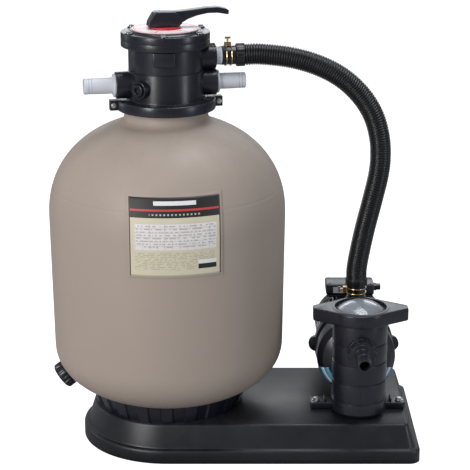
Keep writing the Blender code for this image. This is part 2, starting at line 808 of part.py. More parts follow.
def make_valve_body(valve):
    skirt_radius = NECK_BORE - 0.0015
    body = turned(
        "valve_body",
        [
            (0.0, BODY_TOP),
            (VALVE_FLANGE_RADIUS, BODY_TOP),
            (VALVE_FLANGE_RADIUS, UPPER_BODY_TOP),
            (UPPER_BODY_RADIUS, UPPER_BODY_TOP),
            (UPPER_BODY_RADIUS, LOWER_BODY_TOP),
            (LOWER_BODY_RADIUS, LOWER_BODY_TOP - 0.001),
            (LOWER_BODY_RADIUS, VALVE_FLANGE_TOP),
            (FLANGE_RADIUS, VALVE_FLANGE_TOP),
            (FLANGE_RADIUS, VALVE_FLANGE_Z),
            (skirt_radius, VALVE_FLANGE_Z),
            (skirt_radius, -0.015),
            (0.0, -0.015),
        ],
        ROUND_STEPS,
    )
    place(as_part(body), valve)
    ports = (
        ("return_boss", math.pi, LOWER_PORT_Z, LOWER_BOSS_RADIUS, LOWER_BOSS_REACH),
        ("waste_boss", 0.0, LOWER_PORT_Z, LOWER_BOSS_RADIUS, LOWER_BOSS_REACH),
        ("inlet_boss", 0.0, UPPER_PORT_Z, UPPER_BOSS_RADIUS, UPPER_BOSS_REACH),
        ("gauge_boss", GAUGE_AZIMUTH, LOWER_PORT_Z, GAUGE_BOSS_RADIUS, GAUGE_BOSS_REACH),
    )
    for name, angle, height, radius, reach in ports:
        boss = cylinder(name, radius, around(0.050, angle, height), around(reach, angle, height), ROUND_STEPS)
        join(body, place(boss, valve))
    width, depth, height = PAD_SIZE
    face = UPPER_BODY_RADIUS - depth / 2.0
    pad = box("front_pad", (-width / 2.0, face, -height / 2.0), (width / 2.0, face + depth, height / 2.0))
    join(body, place(pad, valve, (0.0, 0.0, PAD_Z), (0.0, 0.0, math.pi - VALVE_TURN)))
    socket = STANDPIPE_RADIUS + GAP
    lower = turned(
        "lower_chamber",
        [
            (0.0, 0.007),
            (socket + SOCKET_WALL, 0.007),
            (socket + SOCKET_WALL, PORT_PLATE_Z),
            (LOWER_CHAMBER_RADIUS, PORT_PLATE_Z),
            (LOWER_CHAMBER_RADIUS, -0.03),
            (0.0, -0.03),
        ],
        ROUND_STEPS,
    )
    upper = turned(
        "upper_chamber",
        [
            (0.0, BODY_TOP + 0.01),
            (CHAMBER_RADIUS + COVER_SEAL_WIDTH + 0.0005, BODY_TOP + 0.01),
            (CHAMBER_RADIUS + COVER_SEAL_WIDTH + 0.0005, BODY_TOP - COVER_SEAL - GAP),
            (CHAMBER_RADIUS, BODY_TOP - COVER_SEAL - GAP),
            (CHAMBER_RADIUS, CHAMBER_FLOOR),
            (PORT_HOLE_RADIUS, CHAMBER_FLOOR),
            (PORT_HOLE_RADIUS, PORT_PLATE_Z - 0.005),
            (0.0, PORT_PLATE_Z - 0.005),
        ],
        ROUND_STEPS,
    )
    pipe_socket = cylinder("pipe_socket", socket, (0.0, 0.0, -0.01), (0.0, 0.0, PORT_PLATE_Z))
    cut(body, *(place(tool, valve) for tool in (lower, upper, pipe_socket)))
    for index in range(4):
        angle = math.pi / 4.0 + math.pi / 2.0 * index
        hole = cylinder(
            f"port_hole_{index + 1}",
            PORT_HOLE_RADIUS,
            around(PORT_CIRCLE, angle, PORT_PLATE_Z - 0.01),
            around(PORT_CIRCLE, angle, CHAMBER_FLOOR + 0.01),
            18,
        )
        cut(body, place(hole, valve))
    for name, angle, height, _, reach in ports[:3]:
        bore = cylinder(
            f"{name}_bore", PORT_BORE, around(0.066, angle, height), around(reach + 0.01, angle, height)
        )
        cut(body, place(bore, valve))
    gauge_bore = cylinder(
        "gauge_bore",
        GAUGE_PLUG_RADIUS + GAP,
        around(0.060, GAUGE_AZIMUTH, LOWER_PORT_Z),
        around(GAUGE_BOSS_REACH + 0.01, GAUGE_AZIMUTH, LOWER_PORT_Z),
        12,
    )
    cut(body, place(gauge_bore, valve))
    for index in range(COVER_SCREWS):
        hole = screw_hole(f"body_screw_hole_{index + 1}", index, UPPER_BODY_TOP - 0.004, BODY_TOP + 0.01)
        cut(body, place(hole, valve))
    plug = cylinder(
        "gauge_plug",
        GAUGE_PLUG_RADIUS,
        around(0.074, GAUGE_AZIMUTH, LOWER_PORT_Z),
        around(GAUGE_BOSS_REACH + 0.001, GAUGE_AZIMUTH, LOWER_PORT_Z),
        12,
    )
    head = cylinder(
        "gauge_plug_head",
        GAUGE_PLUG_RADIUS + 0.003,
        around(GAUGE_BOSS_REACH + GAP, GAUGE_AZIMUTH, LOWER_PORT_Z),
        around(GAUGE_BOSS_REACH + 0.005, GAUGE_AZIMUTH, LOWER_PORT_Z),
        8,
    )
    place(as_part(plug), valve)
    join(plug, place(head, valve))


def screw_angle(index):
    """The first screw is at the front of the set, whichever way the valve is turned."""
    return 2.0 * math.pi * index / COVER_SCREWS - math.pi / 2.0 - VALVE_TURN


def screw_hole(name, index, bottom, top):
    angle = screw_angle(index)
    start = around(SCREW_CIRCLE, angle, bottom)
    return cylinder(name, SCREW_RADIUS + GAP, start, around(SCREW_CIRCLE, angle, top), 12)


def make_cover(valve):
    cover = turned(
        "valve_cover",
        [
            (VALVE_FLANGE_RADIUS, COVER_RIM_Z - 0.002),
            (VALVE_FLANGE_RADIUS, COVER_Z),
            (SPRING_POCKET_RADIUS, COVER_Z),
            (SPRING_POCKET_RADIUS, COVER_Z + SPRING_POCKET),
            (STEM_BORE, COVER_Z + SPRING_POCKET),
            (STEM_BORE, COVER_TOP),
            (COVER_STEP_RADIUS, COVER_TOP),
            (COVER_STEP_RADIUS, COVER_RIM_Z),
            (VALVE_FLANGE_RADIUS - 0.002, COVER_RIM_Z),
        ],
        ROUND_STEPS,
        closed=True,
    )
    place(as_part(cover), valve)
    boss_top = COVER_RIM_Z + SCREW_BOSS
    for index in range(COVER_SCREWS):
        angle = screw_angle(index)
        boss = cylinder(
            f"screw_boss_{index + 1}",
            SCREW_BOSS_RADIUS,
            around(SCREW_CIRCLE, angle, COVER_Z + 0.004),
            around(SCREW_CIRCLE, angle, boss_top),
            12,
        )
        join(cover, place(boss, valve))
        hole = screw_hole(f"cover_screw_hole_{index + 1}", index, COVER_Z - 0.01, boss_top + 0.01)
        cut(cover, place(hole, valve))
        screw = cylinder(
            f"cover_screw_{index + 1}",
            SCREW_RADIUS,
            around(SCREW_CIRCLE, angle, UPPER_BODY_TOP + 0.0005),
            around(SCREW_CIRCLE, angle, boss_top + 0.001),
            12,
        )
        head = cylinder(
            f"screw_head_{index + 1}",
            SCREW_RADIUS + 0.0028,
            around(SCREW_CIRCLE, angle, boss_top + GAP),
            around(SCREW_CIRCLE, angle, boss_top + GAP + SCREW_HEAD),
            6,
        )
        place(as_part(screw, STEEL, 0.35, 1.0), valve)
        join(screw, place(head, valve))
    seal = ring(
        "cover_seal",
        CHAMBER_RADIUS + 0.0004,
        CHAMBER_RADIUS + COVER_SEAL_WIDTH,
        BODY_TOP - COVER_SEAL,
        BODY_TOP,
        ROUND_STEPS,
    )
    place(as_part(seal, RUBBER, 0.8), valve)
    dial = ring("dial_plate", STEM_BORE + 0.0007, DIAL_RADIUS, DIAL_Z, DIAL_Z + DIAL_THICKNESS, ROUND_STEPS)
    place(as_part(dial, (0.72, 0.62, 0.64), 0.5), valve)
    washer = ring(
        "thrust_washer", STEM_BORE + 0.0007, WASHER_RADIUS, WASHER_Z, WASHER_Z + WASHER_THICKNESS, 24
    )
    place(as_part(washer, (0.55, 0.10, 0.11), 0.5), valve)
    neck_seal = ring("neck_seal", NECK_BORE + 0.003, NECK_RADIUS + 0.005, GAP, GAP + NECK_SEAL, ROUND_STEPS)
    place(as_part(neck_seal, RUBBER, 0.8), valve)


def make_rotor(valve):
    stem_top = PIN_Z + STEM_ABOVE_PIN
    rotor = turned(
        "rotor",
        [
            (0.0, stem_top),
            (STEM_RADIUS, stem_top),
            (STEM_RADIUS, ROTOR_Z + ROTOR_HUB_TOP),
            (ROTOR_HUB_RADIUS, ROTOR_Z + ROTOR_HUB_TOP),
            (ROTOR_HUB_RADIUS, ROTOR_Z + ROTOR_THICKNESS),
            (ROTOR_RADIUS, ROTOR_Z + ROTOR_THICKNESS),
            (ROTOR_RADIUS, ROTOR_Z),
            (0.0, ROTOR_Z),
        ],
        ROUND_STEPS,
    )
    place(as_part(rotor, (0.50, 0.51, 0.52)), valve)
    port_angle = math.pi / 4.0
    port = cylinder(
        "rotor_port",
        PORT_HOLE_RADIUS,
        around(ROTOR_HUB_RADIUS + 0.015, port_angle, ROTOR_Z - 0.005),
        around(ROTOR_HUB_RADIUS + 0.015, port_angle, ROTOR_Z + 0.03),
        16,
    )
    pin_hole = cylinder("pin_hole", PIN_RADIUS + GAP, (0.0, -0.05, PIN_Z), (0.0, 0.05, PIN_Z), 12)
    cut(rotor, place(port, valve), place(pin_hole, valve))
    gasket = ring("rotor_gasket", 0.064, 0.070, GASKET_Z, GASKET_Z + GASKET_THICKNESS, ROUND_STEPS)
    place(as_part(gasket, RUBBER, 0.8), valve)
    for index in range(2):
        bar = box(
            f"gasket_bar_{index + 1}",
            (-0.067, -0.0025, GASKET_Z),
            (0.067, 0.0025, GASKET_Z + GASKET_THICKNESS),
        )
        join(gasket, place(bar, valve, (0.0, 0.0, 0.0), (0.0, 0.0, math.pi / 2.0 * index)))
    low = ROTOR_Z + ROTOR_HUB_TOP + GAP + SPRING_WIRE
    high = COVER_Z + SPRING_POCKET - GAP - SPRING_WIRE
    count = 12 * SPRING_TURNS
    points = []
    for step in range(count + 1):
        angle = 2.0 * math.pi * SPRING_TURNS * step / count
        points.append(around(SPRING_RADIUS, angle, low + (high - low) * step / count))
    spring = tube("rotor_spring", points, [SPRING_WIRE] * len(points), 1)
    place(as_part(spring, STEEL, 0.35, 1.0), valve)


def handle_side():
    """The handle from the side, from its pin: the hub's heel, its cap, the arm and the finger tip."""
    foot = -PIN_HEIGHT
    return [
        (0.026, foot),
        (0.033, -0.0095),
        (0.047, -0.0015),
        (0.066, 0.0050),
        (0.088, 0.0095),
        (0.110, 0.0095),
        (HANDLE_REACH, 0.0050),
        (HANDLE_REACH, 0.0140),
        (0.128, 0.0175),
        (0.112, 0.0215),
        (0.088, 0.0210),
        (0.060, 0.0175),
        (0.030, 0.0150),
        (0.010, 0.0150),
        (-0.021, 0.0155),
        (-0.0245, 0.0135),
        (-0.036, -0.005),
        (-0.0375, foot),
    ]


def make_handle(pin):
    """The arm and its hub share one side outline, and the hub is the wider of the two."""
    upright = (math.pi / 2.0, 0.0, 0.0)
    outline = handle_side()
    arm = plate("handle", outline, 2.0 * ARM_HALF_WIDTH)
    place(as_part(arm), pin, (0.0, 0.0, 0.0), upright)
    hub_outline = [point for point in outline if point[0] < 0.034]
    hub = plate("handle_hub", hub_outline, 2.0 * HUB_HALF_WIDTH)
    join(arm, place(hub, pin, (0.0, 0.0, 0.0), upright))
    cavity = box(
        "handle_cavity",
        (-0.0168, -STEM_RADIUS - CURVED_GAP, -PIN_HEIGHT - 0.01),
        (0.0168, STEM_RADIUS + CURVED_GAP, 0.0105),
    )
    hole = cylinder("handle_pin_hole", PIN_RADIUS + GAP, (0.0, -0.04, 0.0), (0.0, 0.04, 0.0), 12)
    cut(arm, place(cavity, pin), place(hole, pin))
    length = HUB_HALF_WIDTH - 0.0005
    peg = cylinder("handle_pin", PIN_RADIUS, (0.0, -length, 0.0), (0.0, length, 0.0), 12)
    place(as_part(peg, STEEL, 0.35, 1.0), pin)


# ---------------------------------------------------------------- fittings and hose


def fitting(name, parent, location, rotation, insert, collar, tail, bore, colour):
    """A threaded insert, a collar and a stepped hose tail, turned about the port's axis.

    insert is (start, end, radius), collar is (end, radius), tail is a list of (end, radius).
    """
    start, insert_end, insert_radius = insert
    collar_end, collar_radius = collar
    outer = [(tail[-1][1], tail[-1][0])]
    for (end, radius), (_, next_radius) in zip(tail[-2::-1], tail[:0:-1]):
        outer += [(next_radius, end), (radius, end)]
    outer += [(tail[0][1], collar_end), (collar_radius, collar_end), (collar_radius, insert_end + GAP)]
    outer += [(insert_radius, insert_end + GAP), (insert_radius, start)]
    profile = outer + [(bore, start), (bore, tail[-1][0])]
    obj = as_part(turned(name, profile, 24, closed=True), colour, 0.4)
    return place(obj, parent, location, rotation)


def make_valve_fittings(valve):
    insert_radius = PORT_BORE - GAP
    lower = (LOWER_BOSS_REACH - INSERT_LENGTH, LOWER_BOSS_REACH, insert_radius)
    collar = (LOWER_BOSS_REACH + GAP + COLLAR, COLLAR_RADIUS)
    for name, turn, end in (
        ("return_adapter", -math.pi / 2.0, TAIL_END),
        ("waste_adapter", math.pi / 2.0, WASTE_TAIL_END),
    ):
        tail = [(end, TAIL_RADIUS)]
        fitting(name, valve, (0.0, 0.0, LOWER_PORT_Z), (0.0, turn, 0.0), lower, collar, tail, TAIL_BORE, WHITE)
    upper = (UPPER_BOSS_REACH - INSERT_LENGTH, UPPER_BOSS_REACH, insert_radius)
    collar_end = inlet_collar_end()
    fitting(
        "inlet_adapter",
        valve,
        (0.0, 0.0, UPPER_PORT_Z),
        (0.0, math.pi / 2.0, 0.0),
        upper,
        (collar_end, INLET_COLLAR_RADIUS),
        [(collar_end + HOSE_TAIL_LENGTH, HOSE_TAIL_RADIUS)],
        HOSE_TAIL_BORE,
        WHITE,
    )


def inlet_collar_end():
    return UPPER_BOSS_REACH + GAP + INLET_COLLAR


def discharge_collar_end():
    return DISCHARGE_TOP + GAP + DISCHARGE_COLLAR


def smooth_route(points, per_span=2):
    """Points along a smooth curve through the given ones, with the ends' own directions kept."""
    padded = [points[0] * 2.0 - points[1], *points, points[-1] * 2.0 - points[-2]]
    route = []
    for a, b, c, d in zip(padded, padded[1:], padded[2:], padded[3:]):
        for step in range(per_span):
            t = step / per_span
            bend = (2.0 * a - 5.0 * b + 4.0 * c - d) * t**2
            route.append(0.5 * (2.0 * b + (c - a) * t + bend + (3.0 * b - a - 3.0 * c + d) * t**3))
    route.append(points[-1])
    return route


def make_hose():
    """The hose: a cuff, a thicker ring and the corrugated run's outer size, then the same at the pump."""
    away = Vector((math.cos(VALVE_TURN), math.sin(VALVE_TURN), 0.0))
    port = Vector((TANK_X, 0.0, NECK_TOP + UPPER_PORT_Z))
    cuff_start = inlet_collar_end() + GAP
    top_cuff = port + away * cuff_start
    top_ring = top_cuff + away * CUFF_LENGTH
    start = top_ring + away * CUFF_RING
    foot = Vector((PUMP_X, DISCHARGE_Y, BASE_HEIGHT))
    up = Vector((0.0, 0.0, 1.0))
    low_cuff = foot + up * (discharge_collar_end() + GAP)
    low_ring = low_cuff + up * (CUFF_LENGTH - 0.006)
    end = low_ring + up * CUFF_RING * 0.8
    middle = []
    for across, down in HOSE_ROUTE:
        middle.append(
            Vector(
                (
                    start.x + (end.x - start.x) * across,
                    start.y + (end.y - start.y) * min(across, 1.0),
                    start.z + (end.z - start.z) * down,
                )
            )
        )
    run = smooth_route([start, *middle, end + up * 0.020, end])[1:-1]
    nib = 0.0004
    points = [top_cuff, top_ring, top_ring + away * nib, start - away * nib, start]
    radii = [CUFF_RADIUS, CUFF_RADIUS, CUFF_RING_RADIUS, CUFF_RING_RADIUS, HOSE_RADIUS]
    points += run + [end, end - up * nib, low_ring + up * nib, low_ring, low_cuff]
    radii += [HOSE_RADIUS] * len(run) + radii[::-1]
    hose = as_part(tube("hose", points, radii, 4), BLACK, 0.4)
    depth = HOSE_TAIL_LENGTH + GAP
    bore = HOSE_TAIL_RADIUS + GAP
    cut(
        hose,
        cylinder("valve_cuff_bore", bore, top_cuff - away * 0.01, top_cuff + away * depth),
        cylinder("pump_cuff_bore", bore, low_cuff - up * 0.01, low_cuff + up * depth),
    )


def wire_clamp(name, parent, location, rotation, cuff_start):
    """A double wire loop around the cuff, drawn tight by a wing screw at its lug."""
    loop = CUFF_RADIUS + CURVED_GAP + WIRE_RADIUS
    middle = cuff_start + 0.0145
    spots = (middle - WIRE_SPACING / 2.0, middle + WIRE_SPACING / 2.0)
    obj = turned(name, wire_section(loop, spots[0]), 24, closed=True)
    second = turned(f"{name}_second", wire_section(loop, spots[1]), 24, closed=True)
    lug = box(
        f"{name}_lug",
        (-loop - 0.0075, -0.005, spots[0] - WIRE_RADIUS),
        (-loop + 0.0004, 0.005, spots[1] + WIRE_RADIUS),
    )
    screw = cylinder(f"{name}_screw", 0.0022, (-loop - 0.006, 0.0, middle), (-loop - 0.0145, 0.0, middle), 8)
    wing = box(
        f"{name}_wing", (-loop - 0.0180, -0.0012, middle - 0.006), (-loop - 0.0135, 0.0012, middle + 0.006)
    )
    place(as_part(obj, GOLD, 0.35, 1.0), parent, location, rotation)
    join(obj, *(place(tool, parent, location, rotation) for tool in (second, lug, screw, wing)))


def wire_section(radius, height):
    points = []
    for corner in range(6):
        angle = -math.pi / 3.0 * corner
        points.append((radius + WIRE_RADIUS * math.cos(angle), height + WIRE_RADIUS * math.sin(angle)))
    return points


# ---------------------------------------------------------------- pump


def pot_profile():
    return [
        (0.0, POT_RIM),
        (NECK_THREAD_RADIUS, POT_RIM),
        (NECK_THREAD_RADIUS, POT_TOP),
        (POT_RADIUS, POT_TOP),
        (POT_RADIUS, POT_FOOT + 0.010),
        (POT_RADIUS - 0.010, POT_FOOT),
        (0.0, POT_FOOT),
    ]


def make_strainer(pump, strainer, motor):
    housing = turned("strainer_housing", pot_profile(), ROUND_STEPS)
    place(as_part(housing), strainer)
    volute = turned(
        "volute",
        [
            (0.0, VOLUTE_BACK),
            (VOLUTE_RIM_RADIUS, VOLUTE_BACK),
            (VOLUTE_RIM_RADIUS, VOLUTE_BACK - VOLUTE_RIM),
            (VOLUTE_RADIUS, VOLUTE_BACK - VOLUTE_RIM),
            (VOLUTE_RADIUS, 0.0),
            (VOLUTE_RADIUS - 0.012, VOLUTE_FRONT / 2.0),
            (THROAT_RADIUS + 0.010, VOLUTE_FRONT),
            (0.0, VOLUTE_FRONT),
        ],
        ROUND_STEPS,
    )
    throat = cylinder(
        "throat", THROAT_RADIUS, (0.0, STRAINER_Y + 0.030, MOTOR_HEIGHT), (0.0, 0.0, MOTOR_HEIGHT)
    )
    outlet = cylinder(
        "discharge_boss",
        DISCHARGE_BOSS_RADIUS,
        (0.0, DISCHARGE_Y, MOTOR_HEIGHT),
        (0.0, DISCHARGE_Y, DISCHARGE_TOP),
    )
    suction = cylinder(
        "suction_boss",
        SUCTION_BOSS_RADIUS,
        (0.0, 0.0, SUCTION_HEIGHT),
        (0.0, -SUCTION_FACE, SUCTION_HEIGHT),
    )
    join(housing, place(volute, motor), place(throat, pump), place(outlet, pump), place(suction, strainer))
    pot_cavity = turned(
        "pot_cavity",
        [
            (0.0, POT_RIM + 0.01),
            (POT_BORE, POT_RIM + 0.01),
            (POT_BORE, POT_LEDGE),
            (POT_LEDGE_BORE, POT_LEDGE),
            (POT_LEDGE_BORE, POT_FOOT + POT_FLOOR),
            (0.0, POT_FOOT + POT_FLOOR),
        ],
        ROUND_STEPS,
    )
    chamber = cylinder(
        "volute_chamber",
        VOLUTE_CHAMBER,
        (0.0, 0.0, VOLUTE_CHAMBER_FRONT),
        (0.0, 0.0, VOLUTE_BACK + 0.01),
        ROUND_STEPS,
    )
    eye = cylinder(
        "throat_bore", THROAT_BORE, (0.0, STRAINER_Y + 0.030, MOTOR_HEIGHT), (0.0, 0.020, MOTOR_HEIGHT), 20
    )
    outlet_bore = cylinder(
        "discharge_bore",
        PORT_BORE,
        (0.0, DISCHARGE_Y, MOTOR_HEIGHT),
        (0.0, DISCHARGE_Y, DISCHARGE_TOP + 0.01),
    )
    suction_bore = cylinder(
        "suction_bore", PORT_BORE, (0.0, 0.0, SUCTION_HEIGHT), (0.0, -SUCTION_FACE - 0.01, SUCTION_HEIGHT)
    )
    cut(
        housing,
        place(pot_cavity, strainer),
        place(chamber, motor),
        place(eye, pump),
        place(outlet_bore, pump),
        place(suction_bore, strainer),
    )


def make_basket(strainer):
    floor = POT_LEDGE + GAP
    profile = [
        (0.0, floor + BASKET_WALL),
        (BASKET_RADIUS - BASKET_WALL, floor + BASKET_WALL),
        (BASKET_RADIUS - BASKET_WALL, BASKET_TOP),
        (BASKET_RIM_RADIUS, BASKET_TOP),
        (BASKET_RIM_RADIUS, BASKET_TOP - 0.003),
        (BASKET_RADIUS, BASKET_TOP - 0.003),
        (BASKET_RADIUS, floor),
        (0.0, floor),
    ]
    basket = turned("strainer_basket", profile, 24)
    place(as_part(basket, (0.55, 0.56, 0.58), 0.5), strainer)
    for index in range(BASKET_SLOTS):
        slot = box(
            f"basket_slot_{index + 1}", (-0.08, -0.003, floor + 0.012), (0.08, 0.003, BASKET_TOP - 0.012)
        )
        turn = math.pi * (index + 0.5) / BASKET_SLOTS
        cut(basket, place(slot, strainer, (0.0, 0.0, 0.0), (0.0, 0.0, turn)))


def lid_outline():
    """Round over the pot, with a wing at each side to turn the lid by."""
    points = []
    for side in (0.0, math.pi):
        for step in range(13):
            span = math.pi - 2.0 * WING_ROOT_ANGLE
            angle = side + WING_ROOT_ANGLE + span * step / 12.0
            points.append((LID_RING_RADIUS * math.cos(angle), LID_RING_RADIUS * math.sin(angle)))
        reach = -WING_REACH if side == 0.0 else WING_REACH
        half = WING_HALF_WIDTH if side == 0.0 else -WING_HALF_WIDTH
        points += [(reach, half), (reach, -half)]
    return points


def make_lid(strainer):
    seal = ring("lid_seal", POT_BORE + 0.0005, WINDOW_RADIUS - GAP, LID_SEAL_Z, LID_SEAL_Z + LID_SEAL, ROUND_STEPS)
    place(as_part(seal, RUBBER, 0.8), strainer)
    outside, inside = [], []
    for step in range(6):
        share = step / 5.0
        radius = DOME_RADIUS * share
        drop = DOME_RISE * share**2.2
        outside.append((radius, WINDOW_TOP + DOME_RISE - drop))
        inner = (DOME_RADIUS - DOME_WALL) * share
        inside.append((inner, WINDOW_TOP + DOME_RISE - DOME_WALL - (DOME_RISE - 0.003) * share**2.2))
    profile = [
        *outside,
        (WINDOW_RADIUS, WINDOW_TOP),
        (WINDOW_RADIUS, WINDOW_Z),
        (DOME_RADIUS - DOME_WALL, WINDOW_Z),
        *inside[-2::-1],
    ]
    window = turned("lid_window", profile, ROUND_STEPS)
    place(as_part(window, CLEAR, 0.1), strainer)
    middle = LID_RING_Z + LID_RING_HEIGHT / 2.0
    lid = plate("lid_ring", lid_outline(), LID_RING_HEIGHT)
    place(as_part(lid), strainer, (0.0, 0.0, middle))
    bore = turned(
        "lid_bore",
        [
            (0.0, LID_RING_Z + LID_RING_HEIGHT + 0.01),
            (LID_LIP_BORE, LID_RING_Z + LID_RING_HEIGHT + 0.01),
            (LID_LIP_BORE, WINDOW_TOP + GAP),
            (LID_BORE, WINDOW_TOP + GAP),
            (LID_BORE, LID_RING_Z - 0.01),
            (0.0, LID_RING_Z - 0.01),
        ],
        ROUND_STEPS,
    )
    cut(lid, place(bore, strainer))


def make_pump_fittings(pump, strainer):
    nut_end = SUCTION_FACE + GAP + SUCTION_NUT
    fitting(
        "suction_adapter",
        strainer,
        (0.0, 0.0, SUCTION_HEIGHT),
        (math.pi / 2.0, 0.0, 0.0),
        (SUCTION_FACE - 0.016, SUCTION_FACE, PORT_BORE - GAP),
        (nut_end, SUCTION_NUT_RADIUS),
        [(nut_end + SUCTION_STEP, SUCTION_STEP_RADIUS), (nut_end + SUCTION_TAIL, SUCTION_TAIL_RADIUS)],
        SUCTION_TAIL_BORE,
        BLACK,
    )
    collar_end = discharge_collar_end()
    fitting(
        "discharge_adapter",
        pump,
        (0.0, DISCHARGE_Y, 0.0),
        (0.0, 0.0, 0.0),
        (DISCHARGE_TOP - INSERT_LENGTH, DISCHARGE_TOP, PORT_BORE - GAP),
        (collar_end, DISCHARGE_COLLAR_RADIUS),
        [(collar_end + HOSE_TAIL_LENGTH, HOSE_TAIL_RADIUS)],
        HOSE_TAIL_BORE,
        BLACK,
    )


def make_bracket(pump, strainer, motor):
    """The seal plate behind the volute and the foot under it, in one moulding."""
    back = PLATE_Z + PLATE_THICKNESS
    bracket = cylinder("motor_bracket", VOLUTE_RIM_RADIUS, (0.0, 0.0, PLATE_Z), (0.0, 0.0, back), ROUND_STEPS)
    place(as_part(bracket), motor)
    wide, narrow = FOOT_HALF_WIDTH, FOOT_BEAM_HALF_WIDTH
    outline = [
        (-wide, FOOT_FRONT),
        (wide, FOOT_FRONT),
        (wide, FOOT_PAD_BACK),
        (narrow, FOOT_PAD_BACK),
        (narrow, back),
        (-narrow, back),
        (-narrow, FOOT_PAD_BACK),
        (-wide, FOOT_PAD_BACK),
    ]
    foot = plate("bracket_foot", outline, FOOT_THICKNESS)
    join(bracket, place(foot, pump, (0.0, 0.0, GAP + FOOT_THICKNESS / 2.0)))
    for label, side in (("left", -1.0), ("right", 1.0)):
        x = side * EAR_CENTRE
        ear = cylinder(f"bracket_ear_{label}", EAR_RADIUS, (x, 0.0, PLATE_Z), (x, 0.0, back), 16)
        join(bracket, place(ear, motor))
    pot_room = cylinder("pot_room", POT_RADIUS + CURVED_GAP, (0.0, 0.0, -0.01), (0.0, 0.0, 0.05), ROUND_STEPS)
    volute_room = cylinder(
        "volute_room",
        VOLUTE_RADIUS + GAP,
        (0.0, 0.0, FOOT_FRONT - 0.01),
        (0.0, 0.0, PLATE_Z - VOLUTE_RIM),
        ROUND_STEPS,
    )
    rim_room = cylinder(
        "rim_room",
        VOLUTE_RIM_RADIUS + GAP,
        (0.0, 0.0, VOLUTE_BACK - VOLUTE_RIM - GAP),
        (0.0, 0.0, PLATE_Z),
        ROUND_STEPS,
    )
    shaft_hole = cylinder("plate_bore", SHAFT_BORE, (0.0, 0.0, PLATE_Z - 0.01), (0.0, 0.0, back + 0.01), 16)
    cut(
        bracket,
        place(pot_room, strainer),
        place(volute_room, motor),
        place(rim_room, motor),
        place(shaft_hole, motor),
    )
    for label, side in (("left", -1.0), ("right", 1.0)):
        x = side * FOOT_BOLT_X
        top = GAP + FOOT_THICKNESS + GAP
        hole = cylinder(
            f"foot_hole_{label}",
            FOOT_BOLT_RADIUS + GAP,
            (x, FOOT_BOLT_Y, -0.01),
            (x, FOOT_BOLT_Y, top + 0.01),
            12,
        )
        cut(bracket, place(hole, pump))
        bolt = cylinder(
            f"foot_bolt_{label}",
            FOOT_BOLT_RADIUS,
            (x, FOOT_BOLT_Y, -0.015),
            (x, FOOT_BOLT_Y, top + 0.001),
            12,
        )
        head = cylinder(
            f"foot_bolt_head_{label}", 0.0075, (x, FOOT_BOLT_Y, top), (x, FOOT_BOLT_Y, top + 0.0055), 6
        )
        place(as_part(bolt, STEEL, 0.35, 1.0), pump)
        join(bolt, place(head, pump))


def make_shaft(motor):
    core_start, core_end = CORE_SPAN
    shaft = turned(
        "motor_shaft",
        [
            (0.0, SHAFT_BACK),
            (SHAFT_RADIUS, SHAFT_BACK),
            (SHAFT_RADIUS, core_end),
            (CORE_RADIUS, core_end),
            (CORE_RADIUS, core_start),
            (SHAFT_RADIUS, core_start),
            (SHAFT_RADIUS, SHAFT_FRONT),
            (0.0, SHAFT_FRONT),
        ],
        20,
    )
    place(as_part(shaft, STEEL, 0.35, 1.0), motor)
    hub_start, hub_end = IMPELLER_SPAN
    impeller = cylinder("impeller", IMPELLER_HUB_RADIUS, (0.0, 0.0, hub_start), (0.0, 0.0, hub_end), 20)
    place(as_part(impeller, (0.30, 0.31, 0.33)), motor)
    shroud = cylinder("impeller_shroud", IMPELLER_RADIUS, (0.0, 0.0, 0.020), (0.0, 0.0, 0.0225), ROUND_STEPS)
    join(impeller, place(shroud, motor))
    for index in range(IMPELLER_VANES):
        vane = box(
            f"impeller_vane_{index + 1}",
            (IMPELLER_HUB_RADIUS - 0.004, -0.0015, 0.010),
            (IMPELLER_RADIUS - 0.003, 0.0015, 0.021),
        )
        turn = 2.0 * math.pi * index / IMPELLER_VANES
        join(impeller, place(vane, motor, (0.0, 0.0, 0.0), (0.0, 0.0, turn)))
    socket = cylinder(
        "impeller_bore", SHAFT_BORE, (0.0, 0.0, SHAFT_FRONT - GAP), (0.0, 0.0, hub_end + 0.01), 16
    )
    cut(impeller, place(socket, motor))
    seal = ring("shaft_seal", SHAFT_BORE, 0.014, hub_end + GAP, PLATE_Z - GAP, 20)
    place(as_part(seal, (0.10, 0.10, 0.11), 0.5), motor)
    fan_start, fan_end = FAN_SPAN
    fan = ring("motor_fan", SHAFT_BORE, 0.015, fan_start, fan_end, 20)
    place(as_part(fan, BLACK), motor)
    for index in range(FAN_BLADES):
        blade = box(
            f"fan_blade_{index + 1}", (0.013, -0.001, fan_start + 0.001), (FAN_RADIUS, 0.001, fan_end - 0.001)
        )
        turn = 2.0 * math.pi * index / FAN_BLADES
        join(fan, place(blade, motor, (0.0, 0.0, 0.0), (0.0, 0.0, turn)))


